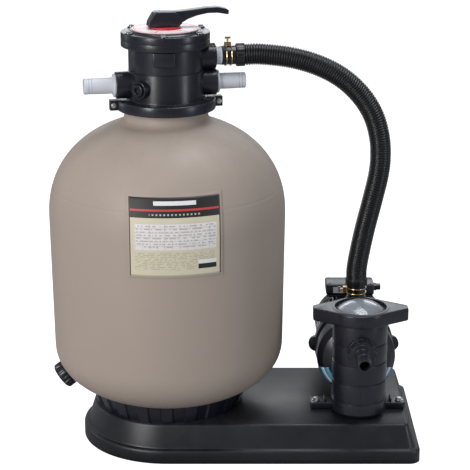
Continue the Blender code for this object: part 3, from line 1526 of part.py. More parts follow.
def make_motor(pump, motor):
    inner = MOTOR_RADIUS - MOTOR_WALL
    housing = turned(
        "motor_housing",
        [
            (SHAFT_BORE, MOTOR_BACK),
            (MOTOR_RADIUS, MOTOR_BACK),
            (MOTOR_RADIUS, MOTOR_FRONT),
            (SHAFT_BORE, MOTOR_FRONT),
            (SHAFT_BORE, MOTOR_FRONT + MOTOR_WALL),
            (inner, MOTOR_FRONT + MOTOR_WALL),
            (inner, MOTOR_BACK - MOTOR_WALL),
            (SHAFT_BORE, MOTOR_BACK - MOTOR_WALL),
        ],
        ROUND_STEPS,
        closed=True,
    )
    place(as_part(housing), motor)
    cover_front = MOTOR_BACK + GAP
    cover = turned(
        "fan_cover",
        [
            (0.0, FAN_COVER_BACK),
            (MOTOR_RADIUS - 0.006, FAN_COVER_BACK),
            (MOTOR_RADIUS, FAN_COVER_BACK - 0.006),
            (MOTOR_RADIUS, cover_front),
            (MOTOR_RADIUS - FAN_COVER_WALL, cover_front),
            (MOTOR_RADIUS - FAN_COVER_WALL, FAN_COVER_BACK - 0.007),
            (MOTOR_RADIUS - 0.007, FAN_COVER_BACK - FAN_COVER_WALL),
            (0.0, FAN_COVER_BACK - FAN_COVER_WALL),
        ],
        ROUND_STEPS,
    )
    place(as_part(cover), motor)
    for index in range(5):
        x = 0.020 * (index - 2)
        half = 0.046 - 0.3 * abs(x)
        slot = box(
            f"vent_slot_{index + 1}",
            (x - 0.003, -half, FAN_COVER_BACK - 0.006),
            (x + 0.003, half, FAN_COVER_BACK + 0.01),
        )
        cut(cover, place(slot, motor))
    base = box(
        "terminal_box",
        (-BOX_BASE_HALF_WIDTH, BOX_SPAN_Y[0] + 0.004, BOX_BASE_Z),
        (BOX_BASE_HALF_WIDTH, BOX_SPAN_Y[1] - 0.004, BOX_LID_Z + 0.002),
    )
    lid = box(
        "terminal_box_lid",
        (BOX_SPAN_X[0], BOX_SPAN_Y[0], BOX_LID_Z),
        (BOX_SPAN_X[1], BOX_SPAN_Y[1], BOX_TOP_Z),
    )
    edge = lid.modifiers.new("edge", "BEVEL")
    edge.width = 0.004
    edge.segments = 2
    place(as_part(base), pump)
    room = cylinder("motor_room", MOTOR_RADIUS + GAP, (0.0, 0.0, 0.08), (0.0, 0.0, 0.26), ROUND_STEPS)
    join(base, place(lid, pump))
    cut(base, place(room, motor))
    gland_y = (BOX_SPAN_Y[0] + BOX_SPAN_Y[1]) / 2.0
    start = BOX_SPAN_X[1] + GAP
    gland = cylinder(
        "cable_gland", GLAND_RADIUS, (start, gland_y, GLAND_Z), (start + GLAND_LENGTH, gland_y, GLAND_Z), 16
    )
    nut = cylinder(
        "gland_nut", GLAND_NUT_RADIUS, (start, gland_y, GLAND_Z), (start + 0.007, gland_y, GLAND_Z), 6
    )
    entry = cylinder(
        "gland_bore", 0.004, (start + 0.004, gland_y, GLAND_Z), (start + 0.03, gland_y, GLAND_Z), 12
    )
    place(as_part(gland), pump)
    join(gland, place(nut, pump))
    cut(gland, place(entry, pump))


def main():
    clear_scene()
    tank = frame_at("tank_axis", (TANK_X, 0.0, 0.0))
    drain_out = around(math.cos(DRAIN_SLOPE), DRAIN_AZIMUTH, math.sin(DRAIN_SLOPE))
    drain_z = BASE_HEIGHT + DRAIN_HEIGHT
    drain_seat = around(belly_radius(drain_z), DRAIN_AZIMUTH, drain_z)
    drain_turn = drain_out.to_track_quat("Z", "Y").to_euler()
    drain = frame_at("drain_axis", drain_seat + Vector((TANK_X, 0.0, 0.0)), drain_turn)
    valve = frame_at("valve_axis", (TANK_X, 0.0, NECK_TOP), (0.0, 0.0, VALVE_TURN))
    pin = frame_at("handle_pin_axis", (0.0, 0.0, PIN_Z), (0.0, 0.0, 0.0), valve)
    pump = frame_at("pump_axis", (PUMP_X, 0.0, BASE_HEIGHT))
    strainer = frame_at("strainer_axis", (0.0, STRAINER_Y, 0.0), (0.0, 0.0, 0.0), pump)
    motor = frame_at("motor_axis", (0.0, 0.0, MOTOR_HEIGHT), (-math.pi / 2.0, 0.0, 0.0), pump)

    make_base()
    make_tank(drain)
    make_skirt()
    make_underdrain(tank)
    make_drain(drain)
    clamp_half("clamp_front", -1.0, valve)
    clamp_half("clamp_rear", 1.0, valve)
    clamp_bolt("clamp_bolt_left", -1.0, valve)
    clamp_bolt("clamp_bolt_right", 1.0, valve)
    make_valve_body(valve)
    make_cover(valve)
    make_rotor(valve)
    make_handle(pin)
    make_valve_fittings(valve)
    make_hose()
    port_turn = (0.0, math.pi / 2.0, 0.0)
    wire_clamp("hose_clamp_valve", valve, (0.0, 0.0, UPPER_PORT_Z), port_turn, inlet_collar_end())
    wire_clamp("hose_clamp_pump", pump, (0.0, DISCHARGE_Y, 0.0), (0.0, 0.0, 0.0), discharge_collar_end())
    make_strainer(pump, strainer, motor)
    make_basket(strainer)
    make_lid(strainer)
    make_pump_fittings(pump, strainer)
    make_bracket(pump, strainer, motor)
    make_shaft(motor)
    make_motor(pump, motor)


main()
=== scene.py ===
# %% [markdown]
# # A sand filter set for a pool
# A taupe tank stands on a long black tray. A multiport valve is clamped on its neck, and a ribbed hose
# brings water over from the strainer pump at the tray's other end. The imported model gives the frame:
# every piece made here takes its place from the nodes' boxes, in metres.

# %% The frame
import bisect
import json
import math

import bmesh
import bpy
from mathutils import Matrix, Vector


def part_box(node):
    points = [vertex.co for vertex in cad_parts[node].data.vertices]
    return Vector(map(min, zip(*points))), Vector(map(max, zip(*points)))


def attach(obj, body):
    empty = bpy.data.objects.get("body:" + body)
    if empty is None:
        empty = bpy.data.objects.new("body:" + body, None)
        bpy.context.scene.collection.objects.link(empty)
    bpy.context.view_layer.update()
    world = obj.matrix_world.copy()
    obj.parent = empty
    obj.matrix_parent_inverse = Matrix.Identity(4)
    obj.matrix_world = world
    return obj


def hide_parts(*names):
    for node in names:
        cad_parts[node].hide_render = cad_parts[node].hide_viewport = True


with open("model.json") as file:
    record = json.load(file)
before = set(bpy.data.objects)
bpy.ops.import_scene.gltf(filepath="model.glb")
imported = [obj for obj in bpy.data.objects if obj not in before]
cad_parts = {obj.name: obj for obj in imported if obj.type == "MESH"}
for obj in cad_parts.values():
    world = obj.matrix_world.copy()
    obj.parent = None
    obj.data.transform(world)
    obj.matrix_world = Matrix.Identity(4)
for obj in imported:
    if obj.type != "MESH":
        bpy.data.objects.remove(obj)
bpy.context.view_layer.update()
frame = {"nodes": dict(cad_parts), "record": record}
nodes = frame["nodes"]

# %% [markdown]
# The set has four axes. The tank and the valve share an upright one, the strainer pot has its own, the
# discharge port stands beside it, and the motor's lies along Y. The middle of a round node's box is on its axis.

# %% The axes and the main heights
def middle(node):
    low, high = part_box(node)
    return (low + high) / 2.0


TANK_X = middle("tank_skirt").x
BASE_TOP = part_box("platform")[1].z
NECK_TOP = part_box("tank_shell")[1].z
POT = middle("lid_window")
MOTOR = middle("motor_shaft")
DISCHARGE = middle("discharge_adapter")
VALVE_TURN = math.radians(12.0)
print("tank axis", round(TANK_X, 3), "pump axis", round(MOTOR.x, 3), "neck", round(NECK_TOP, 3))

# %% [markdown]
# ## Tools
# Most of the set is turned or moulded, so a few tools make nearly all of it. A profile's corners are
# rounded first, because an edge with no radius catches no light, and no moulded part has one.

# %% Rounding an outline's corners
def rounded(points, steps=4, closed=False):
    """Points are (x, y) or (x, y, radius). A corner with a radius becomes an arc."""
    result = []
    count = len(points)
    for index, point in enumerate(points):
        radius = point[2] if len(point) > 2 else 0.0
        at = Vector(point[:2])
        if not radius or (not closed and index in (0, count - 1)):
            result.append(tuple(at))
            continue
        before = (Vector(points[index - 1][:2]) - at).normalized()
        after = (Vector(points[(index + 1) % count][:2]) - at).normalized()
        half = before.angle(after) / 2.0
        reach = radius / math.tan(half)
        centre = at + (before + after).normalized() * (radius / math.sin(half))
        first, last = at + before * reach - centre, at + after * reach - centre
        sweep = first.angle_signed(last)
        for step in range(steps + 1):
            turn = Matrix.Rotation(-sweep * step / steps, 2)
            result.append(tuple(centre + turn @ first))
    return result


# %% Turning a profile
def turned(points, steps=72, closed=False, sweep=2.0 * math.pi):
    """A bmesh of (radius, height) points spun about Z."""
    bm = bmesh.new()
    verts = [bm.verts.new((x, 0.0, z)) for x, z in points]
    edges = [bm.edges.new(pair) for pair in zip(verts, verts[1:])]
    if closed:
        edges.append(bm.edges.new((verts[-1], verts[0])))
    full = abs(sweep - 2.0 * math.pi) < 1e-6
    bmesh.ops.spin(
        bm,
        geom=verts + edges,
        cent=(0.0, 0.0, 0.0),
        axis=(0.0, 0.0, 1.0),
        angle=sweep,
        steps=steps,
        use_merge=full,
    )
    bmesh.ops.remove_doubles(bm, verts=bm.verts, dist=1e-6)
    if not full:
        bmesh.ops.holes_fill(bm, edges=[e for e in bm.edges if e.is_boundary], sides=0)
    bmesh.ops.recalc_face_normals(bm, faces=bm.faces)
    return bm


def extruded(points, bottom, top, edge=0.0, segments=3):
    """A closed outline pulled up from bottom to top, with its two rims rounded."""
    bm = bmesh.new()
    face = bm.faces.new([bm.verts.new((x, y, bottom)) for x, y in points])
    grown = bmesh.ops.extrude_face_region(bm, geom=[face])
    moved = [v for v in grown["geom"] if isinstance(v, bmesh.types.BMVert)]
    bmesh.ops.translate(bm, verts=moved, vec=(0.0, 0.0, top - bottom))
    bmesh.ops.recalc_face_normals(bm, faces=bm.faces)
    if edge:
        rims = [e for e in bm.edges if abs(e.verts[0].co.z - e.verts[1].co.z) < 1e-7]
        soften(bm, rims, edge, segments)
    return bm


def soften(bm, edges, width, segments=3):
    bmesh.ops.bevel(
        bm,
        geom=edges,
        offset=width,
        affect="EDGES",
        segments=segments,
        profile=0.5,
        material=-1,
        clamp_overlap=True,
    )


def block(low, high, edge=0.0, segments=3):
    """A box between two corners, with all its edges rounded."""
    low, high = Vector(low), Vector(high)
    bm = bmesh.new()
    size = Matrix.Diagonal((*(high - low), 1.0))
    bmesh.ops.create_cube(bm, size=1.0, matrix=Matrix.Translation((low + high) / 2.0) @ size)
    if edge:
        soften(bm, bm.edges[:], edge, segments)
    return bm


def rod(radius, start, end, edge=0.0, segments=32):
    """A round bar between two points, with rounded rims."""
    start, end = Vector(start), Vector(end)
    length = (end - start).length
    bm = turned(rounded([(0, length), (radius, length, edge), (radius, 0, edge), (0, 0)], 3), segments)
    turn = (end - start).to_track_quat("Z", "Y").to_matrix().to_4x4()
    bm.transform(Matrix.Translation(start) @ turn)
    return bm


# %% Joining and finishing pieces
def gathered(*parts):
    """Several bmeshes in one."""
    whole = bmesh.new()
    for part in parts:
        mesh = bpy.data.meshes.new("part")
        part.to_mesh(mesh)
        part.free()
        whole.from_mesh(mesh)
        bpy.data.meshes.remove(mesh)
    return whole


def as_object(bm, name):
    mesh = bpy.data.meshes.new(name)
    bm.to_mesh(mesh)
    bm.free()
    obj = bpy.data.objects.new(name, mesh)
    bpy.context.scene.collection.objects.link(obj)
    return obj


def carved(base, tools, operation="UNION"):
    """The base with each tool joined on or cut away, as one new bmesh."""
    target = as_object(base, "carving")
    helpers = [as_object(tool, "carving_tool") for tool in tools]
    for helper in helpers:
        modifier = target.modifiers.new("carve", "BOOLEAN")
        modifier.operation = operation
        modifier.solver = "EXACT"
        modifier.object = helper
    graph = bpy.context.evaluated_depsgraph_get()
    result = bmesh.new()
    result.from_object(target, graph)
    for obj in [target, *helpers]:
        mesh = obj.data
        bpy.data.objects.remove(obj)
        bpy.data.meshes.remove(mesh)
    return result


made = {}


def piece(bm, name, material, body, replaces=(), place=None, smooth=38.0):
    """Writes a bmesh into its place, gives it its material, shades it, sets its body, and hides the nodes it stands
    for.
    """
    if place is not None:
        bm.transform(place)
    obj = as_object(bm, name)
    obj.data.materials.append(material)
    obj.data.shade_smooth()
    obj.data.set_sharp_from_angle(angle=math.radians(smooth))
    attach(obj, body)
    if replaces:
        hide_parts(*replaces)
    made[name] = len(obj.data.polygons)
    return obj


ROOT = "filter_set"
TANK = Matrix.Translation((TANK_X, 0.0, 0.0))
VALVE = Matrix.Translation((TANK_X, 0.0, NECK_TOP)) @ Matrix.Rotation(VALVE_TURN, 4, "Z")
PUMP = Matrix.Translation((MOTOR.x, 0.0, BASE_TOP))
STRAINER = Matrix.Translation((POT.x, POT.y, BASE_TOP))
AXLE = Matrix.Translation((MOTOR.x, 0.0, MOTOR.z)) @ Matrix.Rotation(-math.pi / 2.0, 4, "X")

# %% [markdown]
# ## Finishes
# Nearly everything here is moulded plastic, and what makes it look moulded is never colour. It is a faint
# grain that breaks up the highlight, a little unevenness in the gloss, and a mix that greys the black where
# it lies flat. That mix is partly dust and partly painted sheen, the lighter grey that a glossy top takes
# from the light it mirrors. One node group gives all three, and each plastic sets its own amounts.

# %% The group for moulded plastic
def add_node(tree, kind, **settings):
    node = tree.nodes.new(kind)
    for key, value in settings.items():
        setattr(node, key, value)
    return node


def link(tree, source, target):
    tree.links.new(source, target)


moulded = bpy.data.node_groups.new("moulded_surface", "ShaderNodeTree")
for name, kind, default in (
    ("Colour", "NodeSocketColor", (0.5, 0.5, 0.5, 1.0)),
    ("Dust And Sheen Colour", "NodeSocketColor", (0.5, 0.5, 0.5, 1.0)),
    ("Dust And Sheen", "NodeSocketFloat", 0.1),
    ("Roughness", "NodeSocketFloat", 0.4),
    ("Unevenness", "NodeSocketFloat", 0.1),
    ("Grain Scale", "NodeSocketFloat", 900.0),
    ("Grain", "NodeSocketFloat", 0.1),
):
    socket = moulded.interface.new_socket(name, in_out="INPUT", socket_type=kind)
    socket.default_value = default
for name, kind in (("Colour", "NodeSocketColor"), ("Roughness", "NodeSocketFloat"), ("Normal", "NodeSocketVector")):
    moulded.interface.new_socket(name, in_out="OUTPUT", socket_type=kind)
given = add_node(moulded, "NodeGroupInput")
out = add_node(moulded, "NodeGroupOutput")
coords = add_node(moulded, "ShaderNodeTexCoord")
clouds = add_node(moulded, "ShaderNodeTexNoise")
clouds.inputs["Scale"].default_value = 14.0
clouds.inputs["Detail"].default_value = 6.0
clouds.inputs["Roughness"].default_value = 0.62
grain = add_node(moulded, "ShaderNodeTexNoise")
grain.inputs["Detail"].default_value = 2.0
link(moulded, coords.outputs["Object"], clouds.inputs["Vector"])
link(moulded, coords.outputs["Object"], grain.inputs["Vector"])
link(moulded, given.outputs["Grain Scale"], grain.inputs["Scale"])
spread = add_node(moulded, "ShaderNodeMapRange")
spread.inputs["From Min"].default_value = 0.35
spread.inputs["From Max"].default_value = 0.68
link(moulded, clouds.outputs["Fac"], spread.inputs["Value"])
facing = add_node(moulded, "ShaderNodeNewGeometry")
upward = add_node(moulded, "ShaderNodeSeparateXYZ")
link(moulded, facing.outputs["Normal"], upward.inputs["Vector"])
# Faces that point up get more of the mix: dust, and on the glossy blacks a painted sheen standing in for the light
# their tops mirror.
flat = add_node(moulded, "ShaderNodeMapRange")
flat.inputs["From Min"].default_value = 0.2
flat.inputs["From Max"].default_value = 1.0
flat.inputs["To Min"].default_value = 0.25
flat.inputs["To Max"].default_value = 1.8
link(moulded, upward.outputs["Z"], flat.inputs["Value"])
dust_and_sheen_share = add_node(moulded, "ShaderNodeMath", operation="MULTIPLY")
link(moulded, spread.outputs["Result"], dust_and_sheen_share.inputs[0])
link(moulded, flat.outputs["Result"], dust_and_sheen_share.inputs[1])
amount = add_node(moulded, "ShaderNodeMath", operation="MULTIPLY")
amount.use_clamp = True
link(moulded, dust_and_sheen_share.outputs["Value"], amount.inputs[0])
link(moulded, given.outputs["Dust And Sheen"], amount.inputs[1])
mixed = add_node(moulded, "ShaderNodeMix", data_type="RGBA")
link(moulded, amount.outputs["Value"], mixed.inputs["Factor"])
link(moulded, given.outputs["Colour"], mixed.inputs["A"])
link(moulded, given.outputs["Dust And Sheen Colour"], mixed.inputs["B"])
uneven = add_node(moulded, "ShaderNodeMath", operation="MULTIPLY_ADD")
link(moulded, spread.outputs["Result"], uneven.inputs[0])
link(moulded, given.outputs["Unevenness"], uneven.inputs[1])
link(moulded, given.outputs["Roughness"], uneven.inputs[2])
bump = add_node(moulded, "ShaderNodeBump")
bump.inputs["Distance"].default_value = 0.0006
link(moulded, grain.outputs["Fac"], bump.inputs["Height"])
link(moulded, given.outputs["Grain"], bump.inputs["Strength"])
link(moulded, mixed.outputs["Result"], out.inputs["Colour"])
link(moulded, uneven.outputs["Value"], out.inputs["Roughness"])
link(moulded, bump.outputs["Normal"], out.inputs["Normal"])
print("group:", moulded.name, len(moulded.nodes), "nodes")

# %% The plastics, rubbers and metals
def shader_of(name):
    material = bpy.data.materials.new(name)
    material.use_nodes = True
    tree = material.node_tree
    return material, tree, tree.nodes["Principled BSDF"]


def surfaced(name, colour, dust_and_sheen_colour, dust_and_sheen, roughness, unevenness, grain_scale, grain_depth, metallic=0.0, **sockets):
    material, tree, shader = shader_of(name)
    group = add_node(tree, "ShaderNodeGroup", node_tree=moulded)
    values = {
        "Colour": (*colour, 1.0),
        "Dust And Sheen Colour": (*dust_and_sheen_colour, 1.0),
        "Dust And Sheen": dust_and_sheen,
        "Roughness": roughness,
        "Unevenness": unevenness,
        "Grain Scale": grain_scale,
        "Grain": grain_depth,
    }
    for key, value in values.items():
        group.inputs[key].default_value = value
    link(tree, group.outputs["Colour"], shader.inputs["Base Color"])
    link(tree, group.outputs["Roughness"], shader.inputs["Roughness"])
    link(tree, group.outputs["Normal"], shader.inputs["Normal"])
    shader.inputs["Metallic"].default_value = metallic
    for key, value in sockets.items():
        shader.inputs[key].default_value = value
    return material


# The grey of the dust and of the painted sheen on the blacks' tops.
GREY_DUST_AND_SHEEN = (0.17, 0.17, 0.18)
tank_plastic = surfaced(
    "tank_plastic", (0.345, 0.282, 0.238), (0.30, 0.243, 0.202), 0.45, 0.52, 0.10, 420.0, 0.22
)
black_plastic = surfaced(
    "black_plastic", (0.0086, 0.0088, 0.0150), GREY_DUST_AND_SHEEN, 0.035, 0.26, 0.08, 900.0, 0.05
)
# The tray's deck greys from the same mix: partly dust, partly painted sheen for the light its glossy top mirrors.
tray_plastic = surfaced(
    "tray_plastic", (0.0036, 0.0040, 0.0072), GREY_DUST_AND_SHEEN, 0.055, 0.36, 0.10, 700.0, 0.12
)
hose_plastic = surfaced(
    "hose_plastic", (0.0042, 0.0042, 0.0052), GREY_DUST_AND_SHEEN, 0.015, 0.28, 0.10, 800.0, 0.05
)
white_plastic = surfaced(
    "white_plastic", (0.56, 0.575, 0.62), (0.42, 0.43, 0.47), 0.25, 0.38, 0.10, 900.0, 0.04
)
grey_plastic = surfaced("grey_plastic", (0.42, 0.43, 0.45), (0.3, 0.3, 0.3), 0.2, 0.4, 0.1, 900.0, 0.05)
red_plastic = surfaced("red_plastic", (0.55, 0.035, 0.045), (0.4, 0.1, 0.1), 0.1, 0.4, 0.1, 900.0, 0.04)
rubber = surfaced("seal_rubber", (0.010, 0.010, 0.011), GREY_DUST_AND_SHEEN, 0.10, 0.68, 0.12, 700.0, 0.20)
steel = surfaced(
    "stainless_steel", (0.62, 0.61, 0.59), (0.40, 0.39, 0.37), 0.35, 0.24, 0.16, 1500.0, 0.06, 1.0
)
gold_zinc = surfaced(
    "yellow_zinc", (0.60, 0.44, 0.20), (0.50, 0.30, 0.24), 0.55, 0.26, 0.14, 1500.0, 0.05, 1.0
)
print("plastics and metals ready")

# %% [markdown]
# The strainer's lid is clear plastic gone a little cloudy with use. It lets light through, and a faint haze
# in its roughness keeps the basket beneath from showing sharply.

# %% Clear plastic
clear_plastic, tree, shader = shader_of("clear_plastic")
shader.inputs["Base Color"].default_value = (0.80, 0.84, 0.90, 1.0)
shader.inputs["Transmission Weight"].default_value = 0.80
shader.inputs["IOR"].default_value = 1.5
haze = add_node(tree, "ShaderNodeTexNoise")
haze.inputs["Scale"].default_value = 60.0
haze.inputs["Detail"].default_value = 4.0
where = add_node(tree, "ShaderNodeTexCoord")
link(tree, where.outputs["Object"], haze.inputs["Vector"])
cloudy = add_node(tree, "ShaderNodeMapRange")
cloudy.inputs["To Min"].default_value = 0.05
cloudy.inputs["To Max"].default_value = 0.22
link(tree, haze.outputs["Fac"], cloudy.inputs["Value"])
link(tree, cloudy.outputs["Result"], shader.inputs["Roughness"])
ripple = add_node(tree, "ShaderNodeBump")
ripple.inputs["Distance"].default_value = 0.0015
ripple.inputs["Strength"].default_value = 0.25
link(tree, haze.outputs["Fac"], ripple.inputs["Height"])
link(tree, ripple.outputs["Normal"], shader.inputs["Normal"])
print("clear plastic ready")

# %% [markdown]
# ## The tray
# The tray is one vacuum-formed sheet: a low lip all round, a ledge, and sloping sides up to the deck. It is
# made as rings at rising levels, bridged one to the next. Each edge gets two close levels, so it is rounded.

# %% The tray
tray_low, tray_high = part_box("platform")
REACH = tray_high.x - TANK_X
HALF_DEPTH = tray_high.y
TRAY_WALL = 0.004
levels = [
    (0.0, 0.0),
    (0.0, 0.0245),
    (0.0012, 0.0280),
    (0.0040, 0.0300),
    (0.0092, 0.0300),
    (0.0102, 0.0310),
    (0.0108, 0.0335),
    (0.0238, 0.0745),
    (0.0252, 0.0778),
    (0.0285, 0.0800),
]


def tray_outline(inset):
    depth, reach = HALF_DEPTH - inset, REACH - inset
    corner = max(0.024 - 0.5 * inset, 0.006)
    outline = [(depth * math.cos(a), depth * math.sin(a)) for a in arc(90.0, 270.0, 48)]
    for centre_y, start in ((corner - depth, -90.0), (depth - corner, 0.0)):
        for a in arc(start, start + 90.0, 8):
            outline.append((reach - corner + corner * math.cos(a), centre_y + corner * math.sin(a)))
    return outline


def arc(start, end, steps):
    return [math.radians(start + (end - start) * step / steps) for step in range(steps + 1)]


tray = bmesh.new()
rings = []
for inset, height in levels:
    loop = [tray.verts.new((x, y, height)) for x, y in tray_outline(inset)]
    rings.append([tray.edges.new(pair) for pair in zip(loop, loop[1:] + loop[:1])])
for lower, upper in zip(rings, rings[1:]):
    bmesh.ops.bridge_loops(tray, edges=lower + upper)
bmesh.ops.contextual_create(tray, geom=rings[-1])
bmesh.ops.recalc_face_normals(tray, faces=tray.faces)
tray = piece(tray, "tray", tray_plastic, ROOT, ["platform"], TANK, 50.0)
wall = tray.modifiers.new("wall", "SOLIDIFY")
wall.thickness = TRAY_WALL
wall.offset = -1.0
wall.use_even_offset = True
print("tray", made["tray"], "faces")

# %% [markdown]
# ## The tank
# The tank is blow-moulded, so it has no sharp edge below its neck. Its shoulder and belly are both
# superellipses, which are rounder than an ellipse near the side. The same two curves place the label.

# %% The tank's curve
TANK_RADIUS = -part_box("tank_shell")[0].y
LOWER_RADIUS = TANK_RADIUS - 0.0043
TANK_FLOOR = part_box("tank_shell")[0].z
BELLY_Z, BELLY, BELLY_POWER = TANK_FLOOR + 0.1293, 0.1293, 2.21
SHOULDER, SHOULDER_POWER = 0.2116, 2.19
SHOULDER_Z = NECK_TOP - 0.026 - SHOULDER
NECK_RADIUS = 0.089


def tank_radius(height):
    """The tank's outer radius at a height, from its floor to its shoulder."""
    if height > SHOULDER_Z:
        share = min((height - SHOULDER_Z) / SHOULDER, 1.0)
        return TANK_RADIUS * (1.0 - share**SHOULDER_POWER) ** (1.0 / SHOULDER_POWER)
    if height < BELLY_Z:
        share = min((BELLY_Z - height) / BELLY, 1.0)
        return LOWER_RADIUS * (1.0 - share**BELLY_POWER) ** (1.0 / BELLY_POWER)
    share = (height - BELLY_Z) / (SHOULDER_Z - BELLY_Z)
    return LOWER_RADIUS + (TANK_RADIUS - LOWER_RADIUS) * share


def shoulder_points(first, count):
    start = math.asin((first / TANK_RADIUS) ** (SHOULDER_POWER / 2.0))
    points = []
    for step in range(count + 1):
        angle = start + (math.pi / 2.0 - start) * step / count
        radius = TANK_RADIUS * math.sin(angle) ** (2.0 / SHOULDER_POWER)
        share = math.cos(angle) ** (2.0 / SHOULDER_POWER) if step < count else 0.0
        points.append((radius, SHOULDER_Z + SHOULDER * share))
    return points


def belly_points(count):
    points = []
    for step in range(count):
        angle = math.pi / 2.0 * step / count
        radius = LOWER_RADIUS * math.cos(angle) ** (2.0 / BELLY_POWER)
        share = math.sin(angle) ** (2.0 / BELLY_POWER)
        points.append((radius, BELLY_Z - BELLY * share))
    return points + [(0.0, TANK_FLOOR)]


flare_foot = NECK_RADIUS + 0.023
shoulder = shoulder_points(flare_foot, 28)
flare = []
for step in range(10):
    t = step / 10.0
    start, bend, end = Vector((NECK_RADIUS, 0.0207)), Vector((NECK_RADIUS, 0.00575)), Vector((flare_foot, 0.0))
    point = start * (1.0 - t) ** 2 + bend * 2.0 * t * (1.0 - t) + end * t**2
    flare.append((point.x, shoulder[0][1] + point.y))
flange = rounded(
    [
        (0.080, NECK_TOP - 0.03),
        (0.080, NECK_TOP, 0.001),
        (0.097, NECK_TOP, 0.001),
        (0.097, NECK_TOP - 0.0067, 0.001),
        (NECK_RADIUS, NECK_TOP - 0.0067, 0.002),
        flare[0],
    ],
    3,
)
seam_z = 0.5720
seam = [
    (tank_radius(seam_z + 0.0016), seam_z + 0.0016),
    (tank_radius(seam_z) - 0.0005, seam_z),
    (tank_radius(seam_z - 0.0016), seam_z - 0.0016),
]
side = shoulder + belly_points(28)
side = sorted(side + seam, key=lambda p: -p[1])
tank = turned(flange[:-1] + flare + side, 128)
DRAIN_SLOPE, DRAIN_AZIMUTH = math.radians(-36.0), math.radians(190.0)
seat_z = BASE_TOP + 0.073
seat = Vector((math.cos(DRAIN_AZIMUTH), math.sin(DRAIN_AZIMUTH), 0.0)) * tank_radius(seat_z)
seat += Vector((TANK_X, 0.0, seat_z))
outward = Vector(
    (
        math.cos(DRAIN_SLOPE) * math.cos(DRAIN_AZIMUTH),
        math.cos(DRAIN_SLOPE) * math.sin(DRAIN_AZIMUTH),
        math.sin(DRAIN_SLOPE),
    )
)
DRAIN = Matrix.Translation(seat) @ outward.to_track_quat("Z", "Y").to_matrix().to_4x4()
boss = turned(rounded([(0, 0.002), (0.0215, 0.002, 0.002), (0.027, -0.014), (0, -0.014)], 4), 48)
boss.transform(TANK.inverted() @ DRAIN)
piece(gathered(tank, boss), "tank", tank_plastic, ROOT, ["tank_shell"], TANK, 45.0)
print("tank", made["tank"], "faces, seat of the drain", [round(c, 3) for c in seat])

# %% [markdown]
# ## The label
# The tank carries a printed label on a slightly raised panel, a little to the right of its front. Both are
# grids laid on the tank's own curve: across is an angle round the axis and up is a height, so they follow
# the shoulder's bend. The label keeps a UV map from its grid, and its printing reads that.

# %% Laying a panel on the tank
def laid_on_tank(low, high, azimuth, half_width, proud, across=60, up=40):
    bm = bmesh.new()
    bmesh.ops.create_grid(bm, x_segments=across, y_segments=up, size=1.0, calc_uvs=True)
    if not bm.loops.layers.uv:
        bm.loops.layers.uv.new("UVMap")
    uv = bm.loops.layers.uv[0]
    for face in bm.faces:
        for loop in face.loops:
            loop[uv].uv = ((loop.vert.co.x + 1.0) / 2.0, (loop.vert.co.y + 1.0) / 2.0)
    for vert in bm.verts:
        height = low + (high - low) * (vert.co.y + 1.0) / 2.0
        radius = tank_radius(height) + proud
        turn = azimuth + vert.co.x * half_width / tank_radius(height)
        vert.co = (radius * math.cos(turn), radius * math.sin(turn), height)
    bmesh.ops.recalc_face_normals(bm, faces=bm.faces)
    if sum((face.normal.dot(Vector((math.cos(azimuth), math.sin(azimuth), 0))) for face in bm.faces)) < 0:
        bmesh.ops.reverse_faces(bm, faces=bm.faces)
    return bm


LABEL_LOW, LABEL_HIGH = 0.4435, 0.6030
LABEL_AZIMUTH = math.radians(-90.0 + 6.0)
LABEL_HALF = 0.0935
PANEL_EDGE = 0.0055
panel = laid_on_tank(
    LABEL_LOW - PANEL_EDGE, LABEL_HIGH + PANEL_EDGE, LABEL_AZIMUTH, LABEL_HALF + PANEL_EDGE, 0.0014
)
panel = piece(panel, "label_panel", tank_plastic, ROOT, place=TANK)
thick = panel.modifiers.new("thick", "SOLIDIFY")
thick.thickness = 0.0022
thick.offset = -1.0
edge = panel.modifiers.new("edge", "BEVEL")
edge.width = 0.0006
edge.segments = 2
edge.limit_method = "ANGLE"
print("label panel", made["label_panel"], "faces")

# %% [markdown]
# The printing is a dark heading with a red stripe, a pale table, and rows of fine lines. It holds no
# lettering: short dashes of uneven length stand where words would be. Each element is a band in U and V,
# made by a pair of comparisons, and a group gives that band as a mask.

# %% The group for a printed band
band = bpy.data.node_groups.new("printed_band", "ShaderNodeTree")
for name in ("Value", "From", "To"):
    band.interface.new_socket(name, in_out="INPUT", socket_type="NodeSocketFloat")
band.interface.new_socket("Mask", in_out="OUTPUT", socket_type="NodeSocketFloat")
given = add_node(band, "NodeGroupInput")
out = add_node(band, "NodeGroupOutput")
above = add_node(band, "ShaderNodeMath", operation="GREATER_THAN")
below = add_node(band, "ShaderNodeMath", operation="LESS_THAN")
both = add_node(band, "ShaderNodeMath", operation="MULTIPLY")
link(band, given.outputs["Value"], above.inputs[0])
link(band, given.outputs["From"], above.inputs[1])
link(band, given.outputs["Value"], below.inputs[0])
link(band, given.outputs["To"], below.inputs[1])
link(band, above.outputs["Value"], both.inputs[0])
link(band, below.outputs["Value"], both.inputs[1])
link(band, both.outputs["Value"], out.inputs["Mask"])


